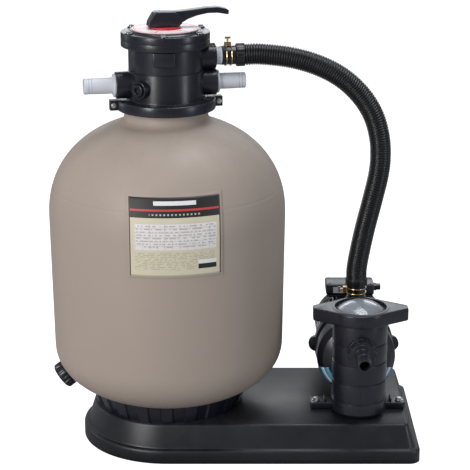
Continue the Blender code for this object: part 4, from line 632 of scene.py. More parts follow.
class Print:
    """Lays printed areas over a label's ground colour, one after another."""

    def __init__(self, name, ground):
        self.material, self.tree, self.shader = shader_of(name)
        uv = add_node(self.tree, "ShaderNodeUVMap")
        split = add_node(self.tree, "ShaderNodeSeparateXYZ")
        link(self.tree, uv.outputs["UV"], split.inputs["Vector"])
        self.u, self.v = split.outputs["X"], split.outputs["Y"]
        paper = add_node(self.tree, "ShaderNodeTexNoise")
        paper.inputs["Scale"].default_value = 5.0
        link(self.tree, uv.outputs["UV"], paper.inputs["Vector"])
        first = add_node(self.tree, "ShaderNodeMix", data_type="RGBA")
        first.inputs["A"].default_value = (*ground, 1.0)
        first.inputs["B"].default_value = (*[c * 0.88 for c in ground], 1.0)
        link(self.tree, paper.outputs["Fac"], first.inputs["Factor"])
        self.colour = first.outputs["Result"]

    def maths(self, operation, first, second):
        node = add_node(self.tree, "ShaderNodeMath", operation=operation)
        for socket, value in zip(node.inputs, (first, second)):
            if isinstance(value, float):
                socket.default_value = value
            else:
                link(self.tree, value, socket)
        return node.outputs["Value"]

    def band(self, value, low, high):
        node = add_node(self.tree, "ShaderNodeGroup", node_tree=band)
        link(self.tree, value, node.inputs["Value"])
        node.inputs["From"].default_value = low
        node.inputs["To"].default_value = high
        return node.outputs["Mask"]

    def area(self, u_low, u_high, v_low, v_high):
        return self.maths("MULTIPLY", self.band(self.u, u_low, u_high), self.band(self.v, v_low, v_high))

    def stripes(self, value, count, share, offset=0.0):
        moved = self.maths("ADD", self.maths("MULTIPLY", value, float(count)), float(offset))
        return self.maths("LESS_THAN", self.maths("FRACT", moved, 0.0), float(share))

    def dashes(self, u_count, v_count, seed=0.0):
        """Rows of short marks with gaps, like words too small to read."""
        noise = add_node(self.tree, "ShaderNodeTexNoise", noise_dimensions="2D")
        noise.inputs["Scale"].default_value = 1.0
        noise.inputs["Detail"].default_value = 0.0
        place = add_node(self.tree, "ShaderNodeCombineXYZ")
        link(self.tree, self.maths("MULTIPLY", self.u, float(u_count)), place.inputs["X"])
        row = self.maths("FLOOR", self.maths("MULTIPLY", self.v, float(v_count)), 0.0)
        link(self.tree, self.maths("MULTIPLY_ADD", row, 7.31), place.inputs["Y"])
        place.inputs["Z"].default_value = seed
        link(self.tree, place.outputs["Vector"], noise.inputs["Vector"])
        return self.maths(
            "MULTIPLY", self.maths("GREATER_THAN", noise.outputs["Fac"], 0.47), self.stripes(self.v, v_count, 0.42)
        )

    def lay(self, mask, colour):
        node = add_node(self.tree, "ShaderNodeMix", data_type="RGBA")
        link(self.tree, mask, node.inputs["Factor"])
        link(self.tree, self.colour, node.inputs["A"])
        node.inputs["B"].default_value = (*colour, 1.0)
        self.colour = node.outputs["Result"]

    def done(self, roughness=0.38):
        link(self.tree, self.colour, self.shader.inputs["Base Color"])
        self.shader.inputs["Roughness"].default_value = roughness
        return self.material


# %% The label's printing
INK = (0.012, 0.009, 0.009)
CREAM = (0.62, 0.57, 0.42)
sheet = Print("label_print", CREAM)
times = sheet.maths
table = sheet.area(0.055, 0.955, 0.345, 0.685)
sheet.lay(table, (0.70, 0.66, 0.64))
rules = times("MAXIMUM", sheet.stripes(sheet.v, 17.6, 0.06), sheet.stripes(sheet.u, 6.2, 0.018, 0.62))
fine = times("MULTIPLY", sheet.band(sheet.v, 0.345, 0.475), sheet.stripes(sheet.u, 12.4, 0.03, 0.24))
sheet.lay(times("MULTIPLY", table, times("MAXIMUM", rules, fine)), (0.36, 0.33, 0.32))
words = times("MULTIPLY", sheet.area(0.075, 0.94, 0.36, 0.675), sheet.dashes(34, 17.6 * 1.5))
sheet.lay(words, (0.42, 0.39, 0.38))
notes = times("MULTIPLY", sheet.area(0.06, 0.93, 0.075, 0.315), sheet.dashes(26, 44, 3.0))
sheet.lay(notes, (0.40, 0.36, 0.27))
sheet.lay(sheet.area(0.745, 0.95, 0.125, 0.205), (0.72, 0.70, 0.68))
sheet.lay(sheet.area(0.745, 0.95, 0.085, 0.150), INK)
sheet.lay(sheet.area(0.0, 1.0, 0.755, 1.0), INK)
sheet.lay(sheet.area(0.0, 1.0, 0.835, 0.860), (0.52, 0.045, 0.045))
sheet.lay(sheet.area(0.27, 0.73, 0.905, 0.955), (0.70, 0.70, 0.69))
sheet.lay(times("MULTIPLY", sheet.area(0.22, 0.78, 0.783, 0.805), sheet.stripes(sheet.u, 24.0, 0.45)), (0.42, 0.41, 0.40))
# Dark brown lines down the label's left and right edges: painted shade along its side edges, in a darkened tank brown,
# not ink.
sheet.lay(times("SUBTRACT", 1.0, sheet.band(sheet.u, 0.012, 0.988)), (0.10, 0.065, 0.045))
label = laid_on_tank(LABEL_LOW, LABEL_HIGH, LABEL_AZIMUTH, LABEL_HALF, 0.0018)
label = piece(label, "label", sheet.done(0.52), ROOT, place=TANK)
film = label.modifiers.new("film", "SOLIDIFY")
film.thickness = 0.0003
film.offset = -1.0
print("label", made["label"], "faces")

# %% [markdown]
# ## The drain cap
# The drain is low on the tank, behind its left side, and its axis points down and outwards. The cap is a
# ribbed knob that a hand can turn: a toothed outline pulled up and softened, with a hexagon on its face.

# %% The drain cap
def toothed(count, outer, inner):
    """A ring of shallow ribs, four points to a rib."""
    points = []
    for index in range(count * 4):
        angle = 2.0 * math.pi * index / (count * 4)
        radius = outer if index % 4 in (0, 1) else inner
        points.append((radius * math.cos(angle), radius * math.sin(angle)))
    return points


CAP_RADIUS, CAP_FROM, CAP_TO = 0.0292, 0.0032, 0.0230
rim = extruded(toothed(20, CAP_RADIUS, CAP_RADIUS - 0.0022), CAP_FROM, CAP_TO - 0.0035, 0.0008, 2)
crown = turned(
    rounded(
        [(0, CAP_TO - 0.002), (0.017, CAP_TO - 0.002, 0.002), (0.021, CAP_TO, 0.002), (0.026, CAP_TO - 0.001, 0.004),
         (0.0275, CAP_TO - 0.0045), (0.0275, CAP_FROM + 0.002), (0, CAP_FROM + 0.002)], 4
    ),
    48,
)
hexagon = extruded([(0.010 * math.cos(a), 0.010 * math.sin(a)) for a in arc(0.0, 300.0, 5)], CAP_TO - 0.004, CAP_TO, 0.001)
piece(gathered(rim, crown, hexagon), "drain_knob", black_plastic, "drain_cap", ["drain_cap"], DRAIN)
print("drain cap", made["drain_knob"], "faces")

# %% [markdown]
# ## The neck clamp
# Two halves of a channel draw the valve's flange onto the tank's. Each is a profile swept through half a
# turn, and at its ends are square ears with a bolt through them. The channel has short ribs across its top.

# %% The clamp's halves
CLAMP_LOW, CLAMP_HIGH = -0.0100, 0.0120
CLAMP_OUTER, CLAMP_INNER = 0.1050, 0.0838
clamp_profile = rounded(
    [
        (CLAMP_OUTER, CLAMP_HIGH, 0.003),
        (CLAMP_OUTER, CLAMP_LOW, 0.0025),
        (0.0905, CLAMP_LOW, 0.001),
        (0.0905, -0.0071, 0.0006),
        (0.0976, -0.0071),
        (0.0976, 0.0091),
        (CLAMP_INNER, 0.0091, 0.0006),
        (CLAMP_INNER, CLAMP_HIGH, 0.0015),
    ],
    3,
    closed=True,
)
for name, start in (("clamp_front", 180.0), ("clamp_rear", 0.0)):
    parting = math.degrees(0.0006 / CLAMP_OUTER)
    half = turned(clamp_profile, 64, True, math.radians(180.0 - 2.0 * parting))
    half.transform(Matrix.Rotation(math.radians(start + parting), 4, "Z"))
    parts = [half]
    side = -1.0 if name == "clamp_front" else 1.0
    for end in (-1.0, 1.0):
        low = Vector((min(end * 0.1000, end * 0.1204), min(side * 0.0006, side * 0.0085), CLAMP_LOW))
        high = Vector((max(end * 0.1000, end * 0.1204), max(side * 0.0006, side * 0.0085), CLAMP_HIGH))
        parts.append(block(low, high, 0.0014))
    for a in arc(start + 24.0, start + 156.0, 4):
        gusset = block((0.0850, -0.0016, CLAMP_HIGH - 0.001), (0.1010, 0.0016, CLAMP_HIGH + 0.0010), 0.0006)
        gusset.transform(Matrix.Rotation(a, 4, "Z"))
        parts.append(gusset)
    piece(gathered(*parts), f"{name}_half", black_plastic, ROOT, [name], VALVE)
print("clamp half", made["clamp_front_half"], "faces")


# %% Hexagon bolts
def hexagon_head(radius, low, high):
    head = extruded([(radius * math.cos(a), radius * math.sin(a)) for a in arc(0.0, 300.0, 5)], low, high, 0.0)
    rims = [e for e in head.edges if all(abs(v.co.z - high) < 1e-7 for v in e.verts)]
    soften(head, rims, radius * 0.12, 2)
    washer = turned(rounded([(0, low + 0.0008), (radius * 1.25, low + 0.0008, 0.0003), (radius * 1.25, low), (0, low)]), 32)
    return gathered(head, washer)


for name, end in (("clamp_bolt_left", -1.0), ("clamp_bolt_right", 1.0)):
    bolt_z = (CLAMP_LOW + CLAMP_HIGH) / 2.0
    across = Matrix.Translation((end * 0.1127, 0.0, bolt_z)) @ Matrix.Rotation(math.pi / 2.0, 4, "X")
    front, back = hexagon_head(0.0044, 0.0088, 0.0120), hexagon_head(0.0044, 0.0088, 0.0120)
    back.transform(Matrix.Rotation(math.pi, 4, "X"))
    shank = rod(0.0029, (0, 0, -0.0095), (0, 0, 0.0095), 0.0, 24)
    piece(gathered(front, back, shank), f"{name}_steel", steel, ROOT, [name], VALVE @ across)
print("clamp bolt", made["clamp_bolt_left_steel"], "faces")

# %% [markdown]
# ## The multiport valve
# The body is one moulding: a turned drum in two steps, a flange at its top, and ports that stand out at two
# heights. The ports are joined on with a Boolean, because they are short pipes that meet a drum, and the
# joint's real line is a curve that nothing else draws as simply.

# %% The valve's body
LOWER_PORT, UPPER_PORT = 0.0425, 0.0970
drum = turned(
    rounded(
        [
            (0, 0.1385),
            (0.0934, 0.1385, 0.0008),
            (0.0934, 0.1232, 0.0022),
            (0.0800, 0.1232, 0.0020),
            (0.0783, 0.1200, 0.0010),
            (0.0783, 0.0738, 0.0006),
            (0.0772, 0.0733, 0.0004),
            (0.0772, 0.0722, 0.0004),
            (0.0797, 0.0716, 0.0008),
            (0.0797, 0.0120, 0.0030),
            (0.0830, 0.0087, 0.0010),
            (0.0965, 0.0087, 0.0008),
            (0.0965, 0.0022, 0.0008),
            (0.0785, 0.0022),
            (0.0785, -0.0148, 0.0010),
            (0, -0.0148),
        ],
        4,
    ),
    96,
)


def port(angle, height, profile, steps=56):
    """A turned port whose axis lies at an angle round the valve, at a height."""
    bm = turned(rounded(profile, 4), steps)
    bm.transform(
        Matrix.Translation((0, 0, height)) @ Matrix.Rotation(angle, 4, "Z") @ Matrix.Rotation(math.pi / 2.0, 4, "Y")
    )
    return bm


LOWER_BOSS = [(0, 0.1070), (0.0215, 0.1070), (0.0282, 0.1070, 0.0012), (0.0290, 0.0600), (0, 0.0600)]
UPPER_BOSS = [(0, 0.1055), (0.0262, 0.1055, 0.0012), (0.0262, 0.1000), (0.0268, 0.0995), (0.0268, 0.0600), (0, 0.0600)]
GAUGE = math.radians(223.0)
GAUGE_BOSS = [
    (0, 0.0900),
    (0.0140, 0.0900, 0.0008),
    (0.0145, 0.0945, 0.0008),
    (0.0185, 0.0945, 0.0012),
    (0.0190, 0.0600),
    (0, 0.0600),
]
pad = block((-0.0230, 0.0740, -0.0155), (0.0230, 0.0858, 0.0155), 0.0030)
pad.transform(Matrix.Translation((0, 0, 0.1065)) @ Matrix.Rotation(math.pi - VALVE_TURN, 4, "Z"))
body = carved(
    drum,
    [
        port(math.pi, LOWER_PORT, LOWER_BOSS),
        port(0.0, LOWER_PORT, LOWER_BOSS),
        port(0.0, UPPER_PORT, UPPER_BOSS),
        port(GAUGE, LOWER_PORT, GAUGE_BOSS),
        pad,
    ],
)
ribs = []
for angle in arc(0.0, 330.0, 11):
    rib = block((0.0245, -0.0015, 0.0935), (0.0272, 0.0015, 0.1050), 0.0006, 2)
    rib.transform(
        Matrix.Translation((0, 0, UPPER_PORT)) @ Matrix.Rotation(math.pi / 2.0, 4, "Y") @ Matrix.Rotation(angle, 4, "Z")
    )
    ribs.append(rib)
piece(gathered(body, *ribs), "valve_drum", black_plastic, ROOT, ["valve_body"], VALVE, 32.0)
print("valve body", made["valve_drum"], "faces")

# %% The pressure gauge's plug
PLUG = [
    (0, 0.0930),
    (0.0062, 0.0930),
    (0.0072, 0.0988, 0.0008),
    (0.0128, 0.0988, 0.0016),
    (0.0130, 0.0949),
    (0.0074, 0.0949),
    (0.0074, 0.0760),
    (0, 0.0760),
]
plug = port(GAUGE, LOWER_PORT, PLUG)
piece(plug, "gauge_port_plug", black_plastic, ROOT, ["gauge_plug"], VALVE)
print("gauge plug", made["gauge_port_plug"], "faces")

# %% [markdown]
# ## The valve's cover
# Six screws hold the cover down, each in a raised pad at the rim. The dial lies on a step in the middle.

# %% The cover and its screws
SCREW_CIRCLE = 0.0845
cover = turned(
    rounded(
        [
            (0.0130, 0.1388),
            (0.0934, 0.1388, 0.0006),
            (0.0934, 0.1537, 0.0018),
            (0.0790, 0.1537, 0.0012),
            (0.0752, 0.1560, 0.0008),
            (0.0745, 0.1582, 0.0010),
            (0.0712, 0.1582, 0.0004),
            (0.0710, 0.1580),
            (0.0130, 0.1580),
        ],
        4,
        closed=True,
    ),
    96,
    closed=True,
)
pads, angles = [], [math.radians(60.0 * i - 90.0) - VALVE_TURN for i in range(6)]
for angle in angles:
    boss = turned(rounded([(0, 0.1557), (0.0085, 0.1557, 0.0010), (0.0092, 0.1490), (0, 0.1490)]), 32)
    boss.transform(Matrix.Translation((SCREW_CIRCLE * math.cos(angle), SCREW_CIRCLE * math.sin(angle), 0)))
    pads.append(boss)
piece(gathered(cover, *pads), "valve_lid", black_plastic, ROOT, ["valve_cover"], VALVE, 32.0)
for index, angle in enumerate(angles):
    at = Matrix.Translation((SCREW_CIRCLE * math.cos(angle), SCREW_CIRCLE * math.sin(angle), 0))
    head = hexagon_head(0.0056, 0.1560, 0.1600)
    shank = rod(0.0029, (0, 0, 0.1240), (0, 0, 0.1565), 0.0, 20)
    name = f"cover_screw_{index + 1}"
    piece(gathered(head, shank), f"{name}_steel", steel, ROOT, [name], VALVE @ at)
print("cover", made["valve_lid"], "faces; screw", made["cover_screw_1_steel"])

# %% [markdown]
# The dial is a printed disc. Its rings are bands of distance from the axis, and six thin lines part its
# sectors, where the real one names the valve's settings. The printing is worked out from Object coordinates,
# so a Mapping node first moves the pattern's centre to the valve's axis.

# %% The dial
dial_material, tree, shader = shader_of("dial_print")
where = add_node(tree, "ShaderNodeTexCoord")
centred = add_node(tree, "ShaderNodeMapping")
centred.inputs["Location"].default_value = (-TANK_X, 0.0, 0.0)
link(tree, where.outputs["Object"], centred.inputs["Vector"])
axes = add_node(tree, "ShaderNodeSeparateXYZ")
link(tree, centred.outputs["Vector"], axes.inputs["Vector"])
planar = add_node(tree, "ShaderNodeCombineXYZ")
link(tree, axes.outputs["X"], planar.inputs["X"])
link(tree, axes.outputs["Y"], planar.inputs["Y"])
distance = add_node(tree, "ShaderNodeVectorMath", operation="LENGTH")
link(tree, planar.outputs["Vector"], distance.inputs["Vector"])
bearing = add_node(tree, "ShaderNodeMath", operation="ARCTAN2")
link(tree, axes.outputs["Y"], bearing.inputs[0])
link(tree, axes.outputs["X"], bearing.inputs[1])
sectors = add_node(tree, "ShaderNodeMath", operation="MULTIPLY_ADD")
sectors.inputs[1].default_value = 6.0 / (2.0 * math.pi)
sectors.inputs[2].default_value = 12.27
link(tree, bearing.outputs["Value"], sectors.inputs[0])
part = add_node(tree, "ShaderNodeMath", operation="FRACT")
link(tree, sectors.outputs["Value"], part.inputs[0])
dial_colour = None


def dial_ring(source, low, high, colour, within=None):
    global dial_colour
    node = add_node(tree, "ShaderNodeGroup", node_tree=band)
    link(tree, source, node.inputs["Value"])
    node.inputs["From"].default_value = low
    node.inputs["To"].default_value = high
    mask = node.outputs["Mask"]
    if within is not None:
        limit = add_node(tree, "ShaderNodeMath", operation="MULTIPLY")
        link(tree, mask, limit.inputs[0])
        link(tree, within, limit.inputs[1])
        mask = limit.outputs["Value"]
    mix = add_node(tree, "ShaderNodeMix", data_type="RGBA")
    link(tree, mask, mix.inputs["Factor"])
    if dial_colour is None:
        mix.inputs["A"].default_value = (0.74, 0.60, 0.62, 1.0)
    else:
        link(tree, dial_colour, mix.inputs["A"])
    mix.inputs["B"].default_value = (*colour, 1.0)
    dial_colour = mix.outputs["Result"]
    return node.outputs["Mask"]


away = distance.outputs["Value"]
dial_ring(away, 0.0, 0.0375, (0.60, 0.035, 0.05))
dial_ring(away, 0.0375, 0.0395, (0.85, 0.80, 0.80))
dial_ring(away, 0.0655, 0.0675, (0.55, 0.10, 0.12))
outer = dial_ring(away, 0.0395, 0.0655, (0.76, 0.62, 0.64))
dial_ring(part.outputs["Value"], 0.48, 0.52, (0.50, 0.12, 0.14), outer)
link(tree, dial_colour, shader.inputs["Base Color"])
shader.inputs["Roughness"].default_value = 0.42
dial = turned(
    rounded([(0.0135, 0.1585), (0.0703, 0.1585), (0.0703, 0.1600, 0.0005), (0.0135, 0.1600)], 3, closed=True), 96, closed=True
)
piece(dial, "dial", dial_material, ROOT, ["dial_plate"], VALVE)
print("dial", made["dial"], "faces")

# %% [markdown]
# ## The handle
# The handle is pinned to the selector's stem, and pressing its tip lifts the selector off its gasket. From
# the side it has a blocky hub, a long arm and a tip that turns down. It is that side outline, pulled out
# to its width twice: wide for the hub, and narrower for the arm.

# %% The handle
ARM = [
    (0.0240, -0.0150, 0.003), (0.0330, -0.0095, 0.006), (0.0470, -0.0015, 0.02), (0.0660, 0.0050, 0.04),
    (0.0880, 0.0092, 0.04), (0.1100, 0.0092, 0.04), (0.1325, 0.0050, 0.002), (0.1335, 0.0138, 0.002),
    (0.1280, 0.0172, 0.02), (0.1120, 0.0212, 0.04), (0.0880, 0.0208, 0.04), (0.0600, 0.0174, 0.04),
    (0.0300, 0.0150, 0.05), (0.0100, 0.0148, 0.01), (-0.0200, 0.0152, 0.003), (-0.0245, 0.0128, 0.004),
    (-0.0350, -0.0050, 0.02), (-0.0370, -0.0162, 0.001), (0.0225, -0.0162, 0.001),
]
HUB = [
    (0.0260, -0.0162, 0.001), (0.0325, -0.0095, 0.006), (0.0345, 0.0060, 0.012), (0.0200, 0.0140, 0.010),
    (-0.0190, 0.0148, 0.004), (-0.0245, 0.0118, 0.004), (-0.0352, -0.0050, 0.02), (-0.0373, -0.0162, 0.001),
]
arm = extruded(rounded(ARM, 5, closed=True), -0.0125, 0.0125, 0.0032, 4)
hub = extruded(rounded(HUB, 5, closed=True), -0.0190, 0.0190, 0.0036, 4)
handle = gathered(arm, hub)
upright = Matrix.Translation((0, 0, 0.180)) @ Matrix.Rotation(math.pi / 2.0, 4, "X")
piece(handle, "handle_lever", black_plastic, "handle", ["handle"], VALVE @ upright, 40.0)
print("handle", made["handle_lever"], "faces")

# %% [markdown]
# ## The fittings
# Each port takes a threaded fitting with a plain tail that a hose slides onto. The tails are grooved near
# their ends, and a low collar stops the hose. They are turned from one profile, with a real bore.

# %% The valve's tails
def tail(end, collar, collar_radius, radius, bore, grooves):
    points = [(bore, 0.085), (0.0198, 0.085, 0.001), (0.0198, 0.1071), (collar_radius, 0.1073, 0.0012)]
    points += [(collar_radius, 0.1073 + collar, 0.0012), (radius + 0.0004, 0.1073 + collar, 0.0006)]
    for at in grooves:
        for reach, drop in ((-0.0011, 0.0), (-0.0007, 0.0011), (0.0007, 0.0011), (0.0011, 0.0)):
            points.append((radius - drop, at + reach))
    points += [(radius, end, 0.0008), (bore, end, 0.0006)]
    return rounded(points, 3, closed=True)


for name, angle, end, grooves in (
    ("return_adapter", math.pi, 0.174, (0.1580, 0.1640)),
    ("waste_adapter", 0.0, 0.170, (0.1560, 0.1625)),
):
    fitting = turned(tail(end, 0.0052, 0.0245, 0.0168, 0.0135, grooves), 64, closed=True)
    fitting.transform(
        Matrix.Translation((0, 0, LOWER_PORT)) @ Matrix.Rotation(angle, 4, "Z") @ Matrix.Rotation(math.pi / 2.0, 4, "Y")
    )
    piece(fitting, f"{name}_tail", white_plastic, ROOT, [name], VALVE)
inlet = turned(
    rounded(
        [(0.0130, 0.0835), (0.0198, 0.0835), (0.0198, 0.1056), (0.0197, 0.1058, 0.001), (0.0197, 0.1095, 0.0006),
         (0.0190, 0.1100), (0.0190, 0.1140), (0.0197, 0.1145, 0.0006), (0.0197, 0.1183, 0.001), (0.0160, 0.1183),
         (0.0160, 0.1543, 0.001), (0.0130, 0.1543)], 3, closed=True
    ),
    64,
    closed=True,
)
inlet.transform(Matrix.Translation((0, 0, UPPER_PORT)) @ Matrix.Rotation(math.pi / 2.0, 4, "Y"))
piece(inlet, "inlet_collar", white_plastic, ROOT, ["inlet_adapter"], VALVE)
print("tail", made["return_adapter_tail"], "faces")

# %% [markdown]
# ## The hose
# The hose is spun as one straight tube, with its cuffs, its thicker rings and every corrugation in a single
# profile. Then it is laid along its route, so each ring stays square to the line and keeps its pitch.

# %% The hose's route
def smooth_route(points, per_span):
    """Points along a smooth curve through the given ones, with the ends' own directions kept."""
    padded = [points[0] * 2.0 - points[1], *points, points[-1] * 2.0 - points[-2]]
    route = []
    for a, b, c, d in zip(padded, padded[1:], padded[2:], padded[3:]):
        for step in range(per_span):
            t = step / per_span
            curve = (2.0 * a - 5.0 * b + 4.0 * c - d) * t**2
            route.append(0.5 * (2.0 * b + (c - a) * t + curve + (3.0 * b - a - 3.0 * c + d) * t**3))
    route.append(points[-1])
    return route


AWAY, UP = Vector((math.cos(VALVE_TURN), math.sin(VALVE_TURN), 0.0)), Vector((0.0, 0.0, 1.0))
CUFF, RING, LOW_CUFF, LOW_RING = 0.0317, 0.0200, 0.0257, 0.0160
top_cuff = Vector((TANK_X, 0.0, NECK_TOP + UPPER_PORT)) + AWAY * 0.1186
low_cuff = Vector((DISCHARGE.x, DISCHARGE.y, BASE_TOP + 0.2203))
start, end = top_cuff + AWAY * (CUFF + RING), low_cuff + UP * (LOW_CUFF + LOW_RING)
middles = []
for across, down in (
    (0.139, -0.001), (0.393, 0.014), (0.623, 0.047), (0.826, 0.099), (0.991, 0.172), (1.108, 0.259),
    (1.170, 0.355), (1.186, 0.449), (1.172, 0.532), (1.126, 0.641), (1.063, 0.778), (1.020, 0.890),
):
    span = end - start
    middles.append(start + Vector((span.x * across, span.y * min(across, 1.0), span.z * down)))
route = [top_cuff, *smooth_route([start, *middles, end + UP * 0.020, end], 16), low_cuff]
distances = [0.0]
for a, b in zip(route, route[1:]):
    distances.append(distances[-1] + (b - a).length)
HOSE_LENGTH = distances[-1]
print("hose", round(HOSE_LENGTH, 3), "m along its middle")


# %% Laying a straight piece along a route
def laid_along(bm, points, lengths):
    """Moves a piece that runs up Z so that it follows the points. Its height becomes distance along them."""
    forward = [(b - a).normalized() for a, b in zip(points, points[1:])]
    forward.append(forward[-1])
    side = [forward[0].orthogonal().normalized()]
    for direction in forward[1:]:
        side.append((side[-1] - direction * side[-1].dot(direction)).normalized())
    for vert in bm.verts:
        at = min(max(vert.co.z, 0.0), lengths[-1])
        index = min(bisect.bisect_right(lengths, at), len(lengths) - 1) - 1
        share = (at - lengths[index]) / (lengths[index + 1] - lengths[index])
        ahead = forward[index].lerp(forward[index + 1], share).normalized()
        across = side[index].lerp(side[index + 1], share)
        across = (across - ahead * across.dot(ahead)).normalized()
        place = points[index].lerp(points[index + 1], share)
        vert.co = place + across * vert.co.x + ahead.cross(across) * vert.co.y


# %% The hose
HOSE_RADIUS, HOSE_BORE, PITCH_COUNT = 0.0228, 0.0172, 132
first, last = CUFF + RING, HOSE_LENGTH - LOW_CUFF - LOW_RING
pitch = (last - first) / PITCH_COUNT
profile = [(0.0166, 0.0), (0.0200, 0.0, 0.0006), (0.0200, CUFF), (0.0236, CUFF, 0.001), (0.0236, first, 0.001)]
for index in range(PITCH_COUNT):
    low = first + pitch * index
    for share, drop in ((0.06, 0.0023), (0.26, 0.0021), (0.38, 0.0004), (0.50, 0.0), (0.78, 0.0), (0.90, 0.0004)):
        profile.append((HOSE_RADIUS - drop, low + pitch * share))
profile += [(0.0236, last, 0.001), (0.0236, last + LOW_RING, 0.001), (0.0200, last + LOW_RING)]
profile += [(0.0200, HOSE_LENGTH, 0.0006), (0.0166, HOSE_LENGTH)]
profile += [(HOSE_BORE, first + pitch * index) for index in range(PITCH_COUNT, -1, -1)]
hose = turned(rounded(profile, 2, closed=True), 40, closed=True)
ribs = []
for low, high in ((CUFF, first), (last, last + LOW_RING)):
    for angle in arc(0.0, 340.0, 17):
        rib = block((0.0225, -0.0022, low + 0.0006), (0.0243, 0.0022, high - 0.0006), 0.0007, 2)
        rib.transform(Matrix.Rotation(angle, 4, "Z"))
        ribs.append(rib)
whole = gathered(hose, *ribs)
laid_along(whole, route, distances)
bmesh.ops.recalc_face_normals(whole, faces=whole.faces)
hose = piece(whole, "ribbed_hose", hose_plastic, ROOT, ["hose"], smooth=60.0)
print("hose", made["ribbed_hose"], "faces,", PITCH_COUNT, "corrugations")

# %% [markdown]
# ## The pump's wet end
# The strainer pot and the volute behind it are one casting in plastic, with the throat between them, the
# suction boss in front and the discharge boss above. They are joined with Booleans, and then hollowed.

# %% The strainer and volute
POT_RADIUS, POT_RIM, SUCTION = 0.0589, 0.2255, 0.161
pot_profile = [(0, POT_RIM), (0.0572, POT_RIM, 0.0008), (0.0572, 0.2130), (POT_RADIUS, 0.2128, 0.0012)]
for groove in (0.168, 0.125, 0.082, 0.039):
    pot_profile += [
        (POT_RADIUS, groove + 0.0021, 0.0004),
        (POT_RADIUS - 0.0018, groove + 0.0014),
        (POT_RADIUS - 0.0018, groove - 0.0014),
        (POT_RADIUS, groove - 0.0021, 0.0004),
    ]
pot_profile += [(POT_RADIUS, 0.012, 0.003), (POT_RADIUS - 0.010, 0.002, 0.001), (0, 0.002)]
pot = turned(rounded(pot_profile, 3), 96)
FORWARD = Matrix.Rotation(math.pi / 2.0, 4, "X")
to_pot = STRAINER.inverted()
boss = turned(rounded([(0, 0.066), (0.0305, 0.066, 0.0012), (0.0305, 0.056), (0.0298, 0.0552), (0.0298, 0), (0, 0)], 3), 64)
boss.transform(Matrix.Translation((0, 0, SUCTION)) @ FORWARD)
volute = turned(
    rounded(
        [(0, 0.076), (0.089, 0.076, 0.001), (0.089, 0.064, 0.001), (0.0845, 0.064, 0.0006), (0.0845, 0.044, 0.001),
         (0.087, 0.042, 0.001), (0.087, 0.0, 0.006), (0.075, -0.014, 0.003), (0.050, -0.028, 0.006), (0, -0.028)], 4
    ),
    96,
)
volute.transform(to_pot @ AXLE)
throat = rod(0.040, (0, 0.030, 0.092), (0, 0.092, 0.092), 0.0, 56)
outlet = turned(rounded([(0, 0.188), (0.026, 0.188, 0.0012), (0.026, 0.092), (0, 0.092)], 3), 56)
outlet.transform(to_pot @ Matrix.Translation((DISCHARGE.x, DISCHARGE.y, BASE_TOP)))
solid = carved(pot, [boss, volute, throat, outlet])
cavity = turned([(0, 0.240), (0.053, 0.240), (0.053, 0.060), (0.045, 0.060), (0.045, 0.008), (0, 0.008)], 64)
chamber = rod(0.075, (0, 0, 0.004), (0, 0, 0.090), 0.0, 64)
chamber.transform(to_pot @ AXLE)
suction_hole = rod(0.0208, (0, 0, SUCTION), (0, -0.080, SUCTION), 0.0, 40)
eye = rod(0.022, (0, 0.030, 0.092), (0, 0.112, 0.092), 0.0, 40)
outlet_hole = rod(0.0208, (0, 0.134, 0.092), (0, 0.134, 0.200), 0.0, 40)
housing = carved(solid, [cavity, chamber, suction_hole, eye, outlet_hole], "DIFFERENCE")
details = []
for angle in arc(0.0, 330.0, 11):
    rib = block((0.0294, -0.0028, 0.0560), (0.0322, 0.0028, 0.0655), 0.0008, 2)
    rib.transform(Matrix.Translation((0, 0, SUCTION)) @ FORWARD @ Matrix.Rotation(angle, 4, "Z"))
    details.append(rib)
details.append(block((-0.0012, -0.0593, 0.014), (-0.0004, -0.0570, 0.125), 0.0003, 2))
piece(gathered(housing, *details), "wet_end", black_plastic, ROOT, ["strainer_housing"], STRAINER, 32.0)
print("strainer and volute", made["wet_end"], "faces")

# %% The lid ring and its window
def lid_outline():
    """Round over the pot, with a wing at each side to turn the lid by."""
    points = []
    for side in (0.0, 180.0):
        points += [(0.0665 * math.cos(a), 0.0665 * math.sin(a)) for a in arc(side + 42.0, side + 138.0, 24)]
        sign = -1.0 if side == 0.0 else 1.0
        points += [(sign * x, -sign * y) for x, y in ((0.0975, 0.0145), (0.1015, 0.0105), (0.1015, -0.0105), (0.0975, -0.0145))]
    return points


LID_LOW, LID_HIGH = 0.2133, 0.2413
cover = extruded(lid_outline(), LID_LOW, LID_HIGH, 0.0030, 3)
bore = turned([(0, 0.260), (0.0552, 0.260), (0.0552, 0.2325), (0.0577, 0.2325), (0.0577, 0.200), (0, 0.200)], 96)
cover = carved(cover, [bore], "DIFFERENCE")
collar = turned(
    rounded([(0.0553, 0.2400), (0.0553, 0.2422, 0.0006), (0.0606, 0.2422, 0.0010), (0.0616, 0.2400)], 3, closed=True),
    96,
    closed=True,
)
piece(gathered(cover, collar), "lid_collar", black_plastic, "lid_ring", ["lid_ring"], STRAINER, 34.0)
WINDOW_LOW, WINDOW_TOP = 0.2283, 0.2325
shares = [step / 18.0 for step in range(19)]
outside = [(0.0546 * t, WINDOW_TOP + 0.0225 - 0.0225 * t**2.3) for t in shares]
inside = [(0.0500 * t, WINDOW_TOP + 0.0185 - 0.0195 * t**2.3) for t in shares[:-1]]
window = turned([*outside, (0.0570, WINDOW_TOP - 0.0004), (0.0570, WINDOW_LOW), (0.050, WINDOW_LOW), *inside[::-1]], 96)
piece(window, "lid_dome", clear_plastic, "lid", ["lid_window"], STRAINER, 50.0)
print("lid", made["lid_collar"], "window", made["lid_dome"])

